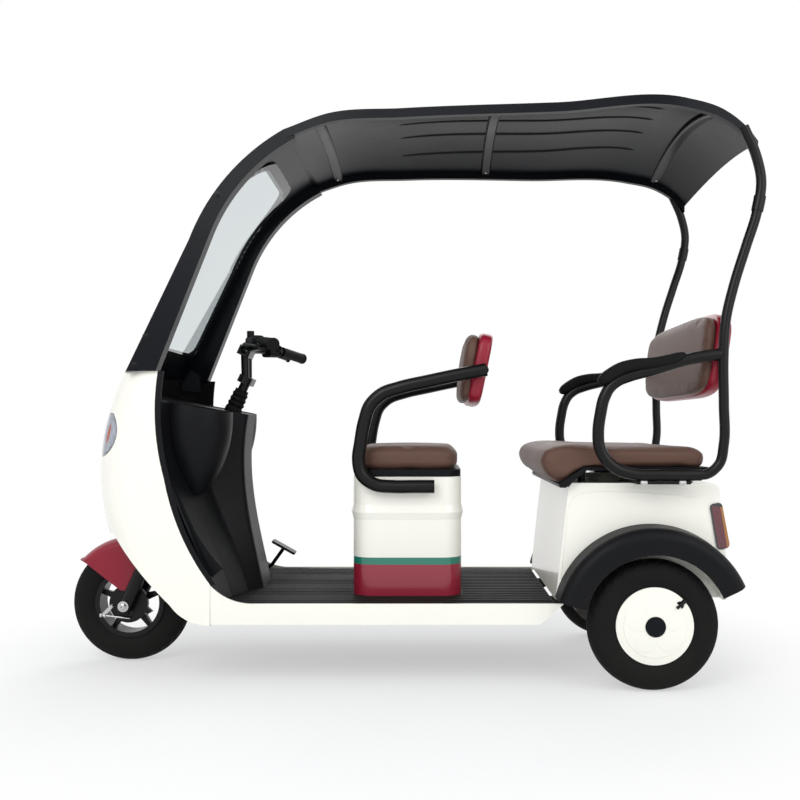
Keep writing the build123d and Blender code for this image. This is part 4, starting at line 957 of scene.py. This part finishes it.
taper = np.linspace(-1, 1, 70)
swell = np.maximum((1 - np.abs(taper) ** 9) ** 0.5 * (1.04 - 0.1 * taper), 0.02)
circle = round_section(1.0, 40)
oval = np.array([0.0165, 0.0222]) * np.sign(circle) * np.abs(circle) ** 0.7
pads = []
for side, place in SIDES:
    y = side * TUBE_Y
    post = side_tube("post", POST_LINE, y, 150, round_section(0.014, 24))
    collar_line = side_line(POST_LINE, y, 150)[COLLAR_FROM:COLLAR_TO]
    collar = carried("collar", collar_line, round_section(0.0165, 24), up=(0, 1, 0))
    post = joined(f"roof_post_{place}", [post, collar])
    dressed(post, tube_black, "chassis", f"rear_post_{place}")
    loop = side_tube(f"armrest_tube_{place}", LOOP_LINE, y, 160, round_section(0.0165, 24))
    dressed(loop, tube_black, "chassis", f"armrest_loop_{place}")
    pads.append(side_tube("pad", PAD_LINE, y, 70, oval, grow=swell))
pads = joined("armrest_foam_pads", pads, 60)
dressed(pads, foam_black, "chassis", "armrest_pads")
print("posts, loops and pads on both sides")

# %% [markdown]
# ## Driver's bars
#
# One bent tube on each side runs from behind the driver's backrest, forwards and down to the bin. Short
# tubes join the two, one behind the backrest and one under the seat.

# %% Side bars of the driver's seat
BAR_Y = 0.248
BAR_LINE = [
    (-0.262, 0.904), (-0.18, 0.889), (-0.09, 0.870), (-0.01, 0.852), (0.045, 0.832), (0.078, 0.800),
    (0.094, 0.755), (0.106, 0.69), (0.112, 0.640), (0.102, 0.597), (0.066, 0.569), (0.01, 0.562),
    (-0.05, 0.562), (-0.110, 0.562),
]
bars = [side_tube("bar", BAR_LINE, side * BAR_Y, 150, round_section(0.0195, 28)) for side, _ in SIDES]
for x, z in ((-0.255, 0.903), (0.03, 0.5645)):
    between = [(x, y, z) for y in np.linspace(-BAR_Y, BAR_Y, 12)]
    bars.append(carried("cross", between, round_section(0.014, 24)))
bars = joined("driver_side_bars", bars)
dressed(bars, tube_black, "chassis", "driver_bars")
print("bars at", BAR_Y, "m")

# %% [markdown]
# ## Painted shade inside the nose
#
# Inside, the nose is painted black above the dashboard: a dark sheet that is painted shade there. The
# sheet is made of the fairing's own inward faces: a merged copy keeps only the faces that look towards
# the seat, and Solidify gives them a thin wall.

# %% Nose shade sheet
def walled(obj, thick, side):
    """Gives a skin a wall by Solidify, on one side of it, and keeps that as its mesh."""
    wall = obj.modifiers.new("wall", "SOLIDIFY")
    wall.thickness, wall.offset = thick, side
    solid = settled_mesh(obj)
    obj.modifiers.clear()
    obj.data = solid
    return obj


def read_faces(mesh, what):
    """A vector of each face, as an array."""
    flat = np.empty(len(mesh.polygons) * 3)
    mesh.polygons.foreach_get(what, flat)
    return flat.reshape(-1, 3)


nose_shade_sheet = outward(placed("nose_painted_shade", nodes["front_fairing"].data.copy()))
nose_shade_sheet.data.materials.clear()
centres, normals = read_faces(nose_shade_sheet.data, "center"), read_faces(nose_shade_sheet.data, "normal")
inwards = np.stack([0.1 - centres[:, 0], -1.6 * centres[:, 1], 0 * centres[:, 2]], 1)
inwards /= np.linalg.norm(inwards, axis=1)[:, None]
kept = ((normals * inwards).sum(1) > 0.25) & (np.abs(normals[:, 2]) < 0.8)
work = bmesh.new()
work.from_mesh(nose_shade_sheet.data)
work.faces.ensure_lookup_table()
bmesh.ops.delete(work, geom=[work.faces[int(k)] for k in np.flatnonzero(~kept)], context="FACES")
work.to_mesh(nose_shade_sheet.data)
work.free()
# Painted shade: the black sheet stands for the shade inside the nose.
dressed(walled(nose_shade_sheet, 0.0012, 1), black_moulding, "chassis")
print("lining keeps", int(kept.sum()), "of", len(kept), "faces")

# %% [markdown]
# ## Roof shell
#
# The roof is one moulded shell with a rolled rim. Its half width, the height of its rim and the rise of its
# crown are given at a few stations from front to back, and a smooth line through them gives every other
# station. The rear edge bows out in the middle.

# %% Roof shell and its cross bars
ROOF_STATIONS = [
    (0.317, 0.345, 1.577, 0.006), (0.19, 0.353, 1.620, 0.030), (-0.02, 0.357, 1.633, 0.050),
    (-0.45, 0.388, 1.639, 0.056), (-0.80, 0.424, 1.640, 0.055), (-0.905, 0.414, 1.612, 0.054),
    (-0.985, 0.403, 1.553, 0.042), (-1.005, 0.400, 1.528, 0.038),
]
RIM_WIDTH, RIM_DROP, ROOF_THICK, TAIL_BOW = 0.020, 0.026, 0.006, 0.020
stations = line_through(ROOF_STATIONS, 110)


def roof_under(x, y):
    """Height of the roof's inner skin: the rim's height plus a crown that falls off with the square of y,
    less the skin's thickness."""
    order = np.argsort(stations[:, 0])
    half, rim, rise = (np.interp(x, stations[order, 0], stations[order, k]) for k in (1, 2, 3))
    return rim + rise * (1 - (np.asarray(y) / (half - RIM_WIDTH)) ** 2) - ROOF_THICK


def roof_shell():
    """Top and underside rows over the same y values, joined at the rims and closed at both ends."""
    share = np.concatenate([[-1.0, -0.999], np.linspace(-0.999, 0.999, 61), [0.999, 1.0]])
    x, half, rim, rise = (stations[:, k, None] for k in range(4))
    under_y = np.where(np.abs(share) == 1.0, share * half, share * (half - RIM_WIDTH))
    top_z = rim + rise * (1 - share**2)
    under_z = top_z - ROOF_THICK
    under_z[:, :2] = under_z[:, -2:] = rim - RIM_DROP
    under_z[:, 2] = under_z[:, -3] = (rim - ROOF_THICK)[:, 0]
    bow = TAIL_BOW * np.clip((-0.80 - x) / 0.2, 0, 1) ** 2 * (1 - share**2)
    top = np.stack([x - bow, share * half, top_z], 2)
    under = np.stack([x - bow, under_y, under_z], 2)[:, ::-1]
    points = np.concatenate([top, under], 1)
    shell = surface("roof_shell", points, close_columns=True)
    count = points.shape[1]
    here = np.arange(count // 2 - 1)
    mirror = count - 1 - here
    work = bmesh.new()
    work.from_mesh(shell.data)
    work.verts.ensure_lookup_table()
    for start in (0, (len(stations) - 1) * count):
        for a, b in zip(here, mirror):
            work.faces.new([work.verts[start + int(k)] for k in (a, a + 1, b - 1, b)])
    work.to_mesh(shell.data)
    work.free()
    return outward(shell, 40)


roof = dressed(roof_shell(), canopy_black, "chassis", "roof_panel")
CROSS_BARS = ((0.225, 0.325), (-0.293, 0.350), (-0.90, 0.375))
strap = in_mm([(-17, 1), (17, 1), (17, -4), (12, -9), (-12, -9), (-17, -4)])
bars = []
for x, reach in CROSS_BARS:
    y = np.linspace(-reach, reach, 50)
    bars.append(carried("bar", np.stack([x + 0 * y, y, roof_under(x, y)], 1), strap))
bars = joined("roof_cross_bars", bars)
dressed(bars, tube_black, "chassis", "roof_bars")
print("roof of", len(roof.data.polygons), "faces")

# %% [markdown]
# ## Front mudguard
#
# The crimson mudguard wraps the front wheel: a crown over the tread and deep cheeks beside the fork legs.
# It is a profile turned about the axle, but only as far down as an outline drawn in the side view, and then
# it is given a wall by Solidify.

# %% Mudguard
GUARD_SIDE = in_mm([
    (150, 141), (24, 42), (8, 40), (-6, 52), (-60, 124), (-86, 112), (-96, 40), (-106, 24), (-205, 24),
])
GUARD_R, GUARD_HALF, CHEEK_R, CHEEK_ROWS = 0.2055, 0.054, 0.180, 26


def guard_edge(angle):
    """Distance from the axle to the outline along a ray at that angle: P x Q over the ray x (Q - P)."""
    corner = np.arctan2(GUARD_SIDE[:, 1], GUARD_SIDE[:, 0])
    k = np.clip(np.searchsorted(corner, angle, side="right") - 1, 0, len(corner) - 2)
    p, q = GUARD_SIDE[k], GUARD_SIDE[k + 1]
    run = q - p
    return (p[:, 0] * q[:, 1] - p[:, 1] * q[:, 0]) / (np.cos(angle) * run[:, 1] - np.sin(angle) * run[:, 0])


def mudguard():
    """Rows round the axle; in each, up the near cheek, over the crown in an arc, down the far cheek."""
    low, high = np.arctan2(0.141, 0.150) + 0.002, np.arctan2(0.024, -0.204)
    angle = np.linspace(low, high, 150)
    edge = np.clip(guard_edge(angle), 0.035, 0.2045)[:, None]
    cheek_top = np.maximum(CHEEK_R, edge + 0.001)
    cheek_r = edge + (cheek_top - edge) * np.linspace(0, 1, CHEEK_ROWS)
    share = np.sin(np.linspace(-np.pi / 2, np.pi / 2, 31))[1:-1]
    crown_r = cheek_top + (GUARD_R - cheek_top) * np.sqrt(1 - share**2)
    radius = np.concatenate([cheek_r, crown_r, cheek_r[:, ::-1]], 1)
    cheek_y = np.full(CHEEK_ROWS, GUARD_HALF)
    y = np.concatenate([-cheek_y, GUARD_HALF * share, cheek_y])[None]
    turn = angle[:, None]
    points = np.stack([FRONT_X + radius * np.cos(turn), y + 0 * turn, WHEEL_Z + radius * np.sin(turn)], 2)
    return surface("mudguard_skin", points)


guard = mudguard()
guard.data.shade_smooth()
middle = guard.data.polygons[len(guard.data.polygons) // 2]
if (np.array(middle.center) - (FRONT_X, 0, WHEEL_Z)) @ np.array(middle.normal) < 0:
    guard.data.flip_normals()
walled(guard, 0.003, -1)
lug_profile = in_mm([(9, 0), (9, 19), (8, 20), (0, 20)])
lugs = [turned("lug", lug_profile, (0.775, side * 0.0525, 0.340), (0, side, 0), 24) for side, _ in SIDES]
guard = joined("front_wheel_guard", [guard, *lugs], 40)
dressed(guard, crimson, "steering", "front_mudguard")
print("guard of", len(guard.data.polygons), "faces")

# %% [markdown]
# ## Small fittings
#
# Bolts and nuts hold the real vehicle together and catch the light. Each is a turned profile set on the
# surface of a CAD node. A ray shot at the node finds the spot and the way it faces, so nothing floats.


# %% Bolts on a surface
def landing(carrier, start, direction):
    """Where a ray meets a CAD node, and the way its surface faces there."""
    hit, spot, facing, _ = nodes[carrier].ray_cast(start, direction)
    if not hit:
        raise RuntimeError(f"no {carrier} in front of {start}")
    return np.array(spot), np.array(facing)


RAY_START_Y = 0.6
BUTTON_HEAD = [
    (1.5, -0.2), (1.5, 0.12), (1.0, 0.16), (0.98, 0.5), (0.72, 0.74), (0.44, 0.8), (0.42, 0.4), (0, 0.38),
]


def button_heads(carrier, places, radius):
    """Washer, domed head and socket, in units of the head's radius.
    One stands wherever a ray from either side, towards the middle plane, meets the carrier."""
    heads = []
    for x, z in places:
        for side, _ in SIDES:
            spot, facing = landing(carrier, (x, side * RAY_START_Y, z), (0, -side, 0))
            heads.append(turned("bolt", radius * np.array(BUTTON_HEAD), spot, facing, 24))
    return heads


PILLAR_BOLTS = [(0.502, 1.392), (0.706, 0.992), (0.738, 0.912)]
BRACKET_BOLTS = [(-0.688, 0.582), (-0.795, 0.582)]
for name, carrier, places, radius, coat, body, slot in (
    ("pillar_bolts", "windscreen_frame", PILLAR_BOLTS, 0.006, tube_black, "chassis", "black_steel"),
    ("loop_bracket_bolts", "bench_supports", BRACKET_BOLTS, 0.0065, steel, "chassis", "cast_metal"),
    ("axle_nuts", "fork", [(FRONT_X, WHEEL_Z)], 0.011, steel, "steering", "cast_metal"),
):
    heads = button_heads(carrier, places, radius)
    dressed(joined(name, heads), coat, body)
    print(name, len(heads))

# %% [markdown]
# ## Front brake rod
#
# A bright rod works the front drum brake. It ends in two round adjuster nuts ahead of the drum, and a short
# arm joins it to the drum's pivot. A rod is a round section carried along a line, and a nut is turned.

# %% Brake rod and arm
drum_face = landing("fork", (0.88, 0.3, 0.15), (0, -1, 0))[0][1]
rod_y = drum_face + 0.010
rod_back, rod_front = np.array([0.838, rod_y, 0.139]), np.array([0.932, rod_y, 0.150])
rod_length = np.linalg.norm(rod_front - rod_back)
along_rod = (rod_front - rod_back) / rod_length
rod = carried("rod", np.linspace(rod_back, rod_front, 12), round_section(0.0026), up=(0, 1, 0))
nut_profile = in_mm([(3, 0), (6.6, 0.4), (7.2, 1.4), (7.2, 5.4), (6.6, 6.4), (3, 6.8)])
nuts = [turned("nut", nut_profile, rod_front - back * along_rod, -along_rod, 32) for back in (0.001, 0.013)]
pivot = np.array([0.897, drum_face - 0.001, 0.176])
pivot_profile = in_mm([(6.5, 0), (6.5, 3), (5.2, 4.2), (5.2, 8.5), (4.4, 9.5), (0, 9.8)])
pivot_nut = turned("pivot", pivot_profile, pivot, (0, 1, 0), 30, corners=6)
arm_line = np.linspace(pivot + np.array([0, 0.0075, 0]), rod_front - 0.010 * along_rod, 10)
arm_section = in_mm([(-5.5, -1.6), (5.5, -1.6), (5.5, 1.6), (-5.5, 1.6)])
arm = carried("arm", arm_line, arm_section, up=(0, 1, 0))
dressed(joined("front_brake_rod", [rod, *nuts, pivot_nut, arm]), steel, "steering")
print("rod", round(1000 * rod_length), "mm long")

# %% [markdown]
# ## Ribs under the roof
#
# The roof's inner skin has long shallow ribs from front to back. Each follows the skin's own formula at a
# few places, and a low rounded section is carried through them. Two bolts hold each cross bar.

# %% Roof ribs and bolts
rib_section = in_mm([(-7.5, 2), (-6, -2), (-3, -3.8), (3, -3.8), (6, -2), (7.5, 2)])
swell = 0.15 + 0.85 * np.sin(np.linspace(0, np.pi, 60)) ** 0.25
along = np.linspace(0.0, -0.79, 14)
for order, rib_y in enumerate((0.215, 0.07, -0.07, -0.215)):
    skin = np.stack([along, rib_y + 0 * along, roof_under(along, rib_y)], 1)
    rib = carried(f"roof_rib_{order}", line_through(skin, 60), rib_section, grow=swell)
    dressed(rib, canopy_black, "chassis")
bolt_profile = in_mm([(6, -1), (6, 0.8), (4.4, 1), (4.2, 2.6), (3, 3.4), (0, 3.5)])
STRAP_FACE, BOLT_INSET = 0.0088, 0.015
heads = []
for x, reach in CROSS_BARS:
    y = reach - BOLT_INSET
    for side, _ in SIDES:
        spot = np.array([x, side * y, roof_under(x, y) - STRAP_FACE])
        heads.append(turned("bolt", bolt_profile, spot, (0, 0, -1), 20))
dressed(joined("roof_bolts", heads), steel, "chassis")
print("4 ribs and", len(heads), "bolts")

# %% [markdown]
# ## Floor mat
#
# The floor is covered by a rubber mat with fine ridges that run lengthwise. Its height is a rounded wave
# across the vehicle, which falls to nothing at the mat's edge.

# %% Ridged mat
MAT_HALF, RIDGE_EVERY = 0.335, 0.026
mat_x = np.linspace(-0.16, 0.47, 8)[:, None]
mat_y = np.linspace(-MAT_HALF, MAT_HALF, 1341)[None]
ridge = np.clip(np.sin(2 * np.pi * mat_y / RIDGE_EVERY), -0.2, 0.75)
edge = np.clip((MAT_HALF - np.abs(mat_y)) / 0.006, 0, 1)
floor_top = landing("floor_pan", (0.0, 0.3, 0.5), (0, 0, -1))[0][2]
mat_z = floor_top + 0.0002 + edge * (0.002 + 0.0018 * ridge)
mat = surface("floor_mat", np.stack([mat_x + 0 * mat_y, mat_y + 0 * mat_x, mat_z + 0 * mat_x], 2))
mat.data.shade_smooth()
mat.data.set_sharp_from_angle(angle=np.radians(35))
if mat.data.polygons[0].normal[2] < 0:
    mat.data.flip_normals()
dressed(mat, floor_rubber, "chassis")
print("mat of", len(mat.data.polygons), "faces")

# %% [markdown]
# ## Trim beside the dashboard
#
# Three thin pieces finish the panels: a strip that closes the slit between the dashboard and the fairing's
# edging, a dark glossy corner plate at the foot of each pillar, and the pressed line that follows the rear
# body's edge. Flat pieces are an outline at two distances from the middle plane, closed by fans.

# %% Closing strips, corner plates and body beads
plate_gloss = finish("glossy corner plate", (0.022, 0.024, 0.028), 0.25, spread=0.05, bump=0.03)
CORNER_PLATE = [(0.735, 0.935), (0.705, 0.912), (0.700, 0.857), (0.765, 0.860), (0.768, 0.880)]
SLIT_LINE = [(0.672, 0.62), (0.655, 0.56), (0.630, 0.50), (0.598, 0.43), (0.560, 0.37), (0.515, 0.315)]
BEAD_LINE = [
    (-0.463, 0.262), (-0.472, 0.36), (-0.482, 0.46), (-0.490, 0.515), (-0.512, 0.543), (-0.55, 0.552),
    (-0.65, 0.552), (-0.76, 0.546), (-0.865, 0.536),
]
flat_strip = in_mm([(-28, -1.5), (28, -1.5), (28, 1.5), (-28, 1.5)])
plates, strips, beads = [], [], []
for side, _ in SIDES:
    outline = np.array([[(x, side * y, z) for x, z in CORNER_PLATE] for y in (0.2962, 0.3006)])
    plates.append(surface("plate", outline, close_columns=True, cap_ends=True))
    strips.append(side_tube("strip", SLIT_LINE, side * 0.318, 40, flat_strip))
    beads.append(side_tube("bead", BEAD_LINE, side * 0.3398, 120, round_section(0.0014, 12)))
for name, pieces, coat, slot in (
    ("pillar_corner_plates", plates, plate_gloss, "black_plastic"),
    ("dash_side_strips", strips, black_moulding, "black_plastic"),
    ("rear_body_beads", beads, cream_paint, "cream_paint"),
):
    dressed(joined(name, pieces), coat, "chassis")
print("trim on both sides")

# %% [markdown]
# ## Switches on the handlebar
#
# Each control housing carries three plain buttons on the side that faces the driver. They are turned discs
# set on the housing where a ray from the driver's side meets it.

# %% Buttons
BUTTON = [(1.35, -0.3), (1.35, 0.15), (1.15, 0.3), (1.0, 0.15), (1.0, 0.75), (0.85, 0.95), (0, 1.0)]
for side, place in SIDES:
    buttons = []
    for y, z, radius in ((0.158, 0.998, 0.0065), (0.158, 0.981, 0.0055), (0.145, 0.990, 0.0042)):
        spot, facing = landing("control_housings", (0.25, side * y, z), (1, 0, 0))
        buttons.append(turned("button", radius * np.array(BUTTON), spot, facing, 28))
    dressed(joined(f"switch_buttons_{place}", buttons), canopy_black, "steering")
print("buttons on both housings")

# %% [markdown]
# ## Camera, floor and light
#
# The photograph is a plain side view. Its vanishing point lies a little right of and below the middle, so
# the camera stays level and its lens is shifted instead of turned. The floor is pale and keeps the shadow,
# and three large soft lamps light the vehicle at a plain level.

# %% Camera
camera = placed("camera", bpy.data.cameras.new("camera"))
camera.location = (-0.097, 3.100, 0.742)
camera.rotation_euler = (np.radians(90), 0, np.radians(180))
camera.data.sensor_width = 36
camera.data.lens = 43.92
camera.data.shift_x, camera.data.shift_y = -0.0375, 0.03125
bpy.context.scene.camera = camera
print("camera at", tuple(round(v, 3) for v in camera.location))

# %% [markdown]
# The floor is a shader that is half a real surface near the tricycle, so it takes a light shadow, and turns
# into plain white further out, so no edge shows.

# %% Floor
def seen_directly(tree):
    """1 for the camera's rays and for reflections and glass, 0 for the light that falls on surfaces."""
    rays = node(tree, "LightPath").outputs
    mirrored = maths(tree, "MAXIMUM", rays["Is Glossy Ray"], rays["Is Transmission Ray"])
    return maths(tree, "MAXIMUM", rays["Is Camera Ray"], mirrored)


def mixed_shaders(tree, share, first, second, end):
    """Mixes two shaders by share and leads them to the output node named end."""
    mixed = node(tree, "MixShader")
    for number, source in enumerate((share, first, second)):
        tree.links.new(source, mixed.inputs[number])
    fed(tree, tree.nodes[end], Surface=mixed.outputs[0])


FLOOR_REACH, FADE_FROM, FADE_TO, NEAR_GLOW = 9, 0.95, 1.6, 0.5
floor_mesh = bpy.data.meshes.new("floor")
corners = [(FLOOR_REACH * x, FLOOR_REACH * y, 0) for x, y in ((-1, -1), (1, -1), (1, 1), (-1, 1))]
floor_mesh.from_pydata(corners, [], [(0, 1, 2, 3)])
floor = placed("floor", floor_mesh)
floor_finish, tree, pale = new_material("pale floor")
fed(tree, pale, Base_Color=WHITE, Roughness=1.0, Specular_IOR_Level=0.0)
distance = fed(tree, node(tree, "VectorMath", operation="LENGTH"), Vector=own_place(tree)).outputs["Value"]
fade = node(tree, "MapRange", interpolation_type="SMOOTHSTEP")
fed(tree, fade, Value=distance, From_Min=FADE_FROM, From_Max=FADE_TO, To_Min=NEAR_GLOW)
white_share = maths(tree, "MULTIPLY", fade.outputs["Result"], seen_directly(tree))
mixed_shaders(tree, white_share, pale.outputs[0], node(tree, "Emission").outputs[0], "Material Output")
paint(floor, floor_finish)
floor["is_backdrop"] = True
print("floor ready")

# %% [markdown]
# The world is white to the camera and to reflections, and a softer grey to everything else. The lamps are
# wide panels: two high on the near side, in front and behind, and one high on the far side.


# %% World and lamps
world = bpy.data.worlds.new("studio")
bpy.context.scene.world = world
world.use_nodes = True
tree = world.node_tree
ambient = fed(tree, tree.nodes["Background"], Color=(0.94, 0.97, 1.0, 1), Strength=0.62)
backdrop = fed(tree, node(tree, "Background"), Color=WHITE, Strength=1.0)
mixed_shaders(tree, seen_directly(tree), ambient.outputs[0], backdrop.outputs[0], "World Output")


def lamp(name, place, size, power):
    """A square panel that faces the middle of the vehicle."""
    light = bpy.data.lights.new(name, "AREA")
    light.size, light.energy = size, power
    obj = placed(name, light)
    obj.location = place
    facing = Vector((0, 0, 0.8)) - Vector(place)
    obj.rotation_euler = facing.to_track_quat("-Z", "Y").to_euler()


lamp("key", (1.4, 3.4, 3.0), 2.2, 62)
lamp("fill", (-2.6, 2.6, 2.2), 2.4, 34)
lamp("back", (-0.5, -3.4, 3.0), 2.6, 40)
bpy.context.scene.view_settings.view_transform = "Standard"
print("lamps:", [light.name for light in bpy.data.lights])

# %% Measure and finish
dressed_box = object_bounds()
growth = [[round((b - a) * 1000, 1) for a, b in zip(*pair)] for pair in zip(cad_box, dressed_box)]
print("grown by", growth, "mm")
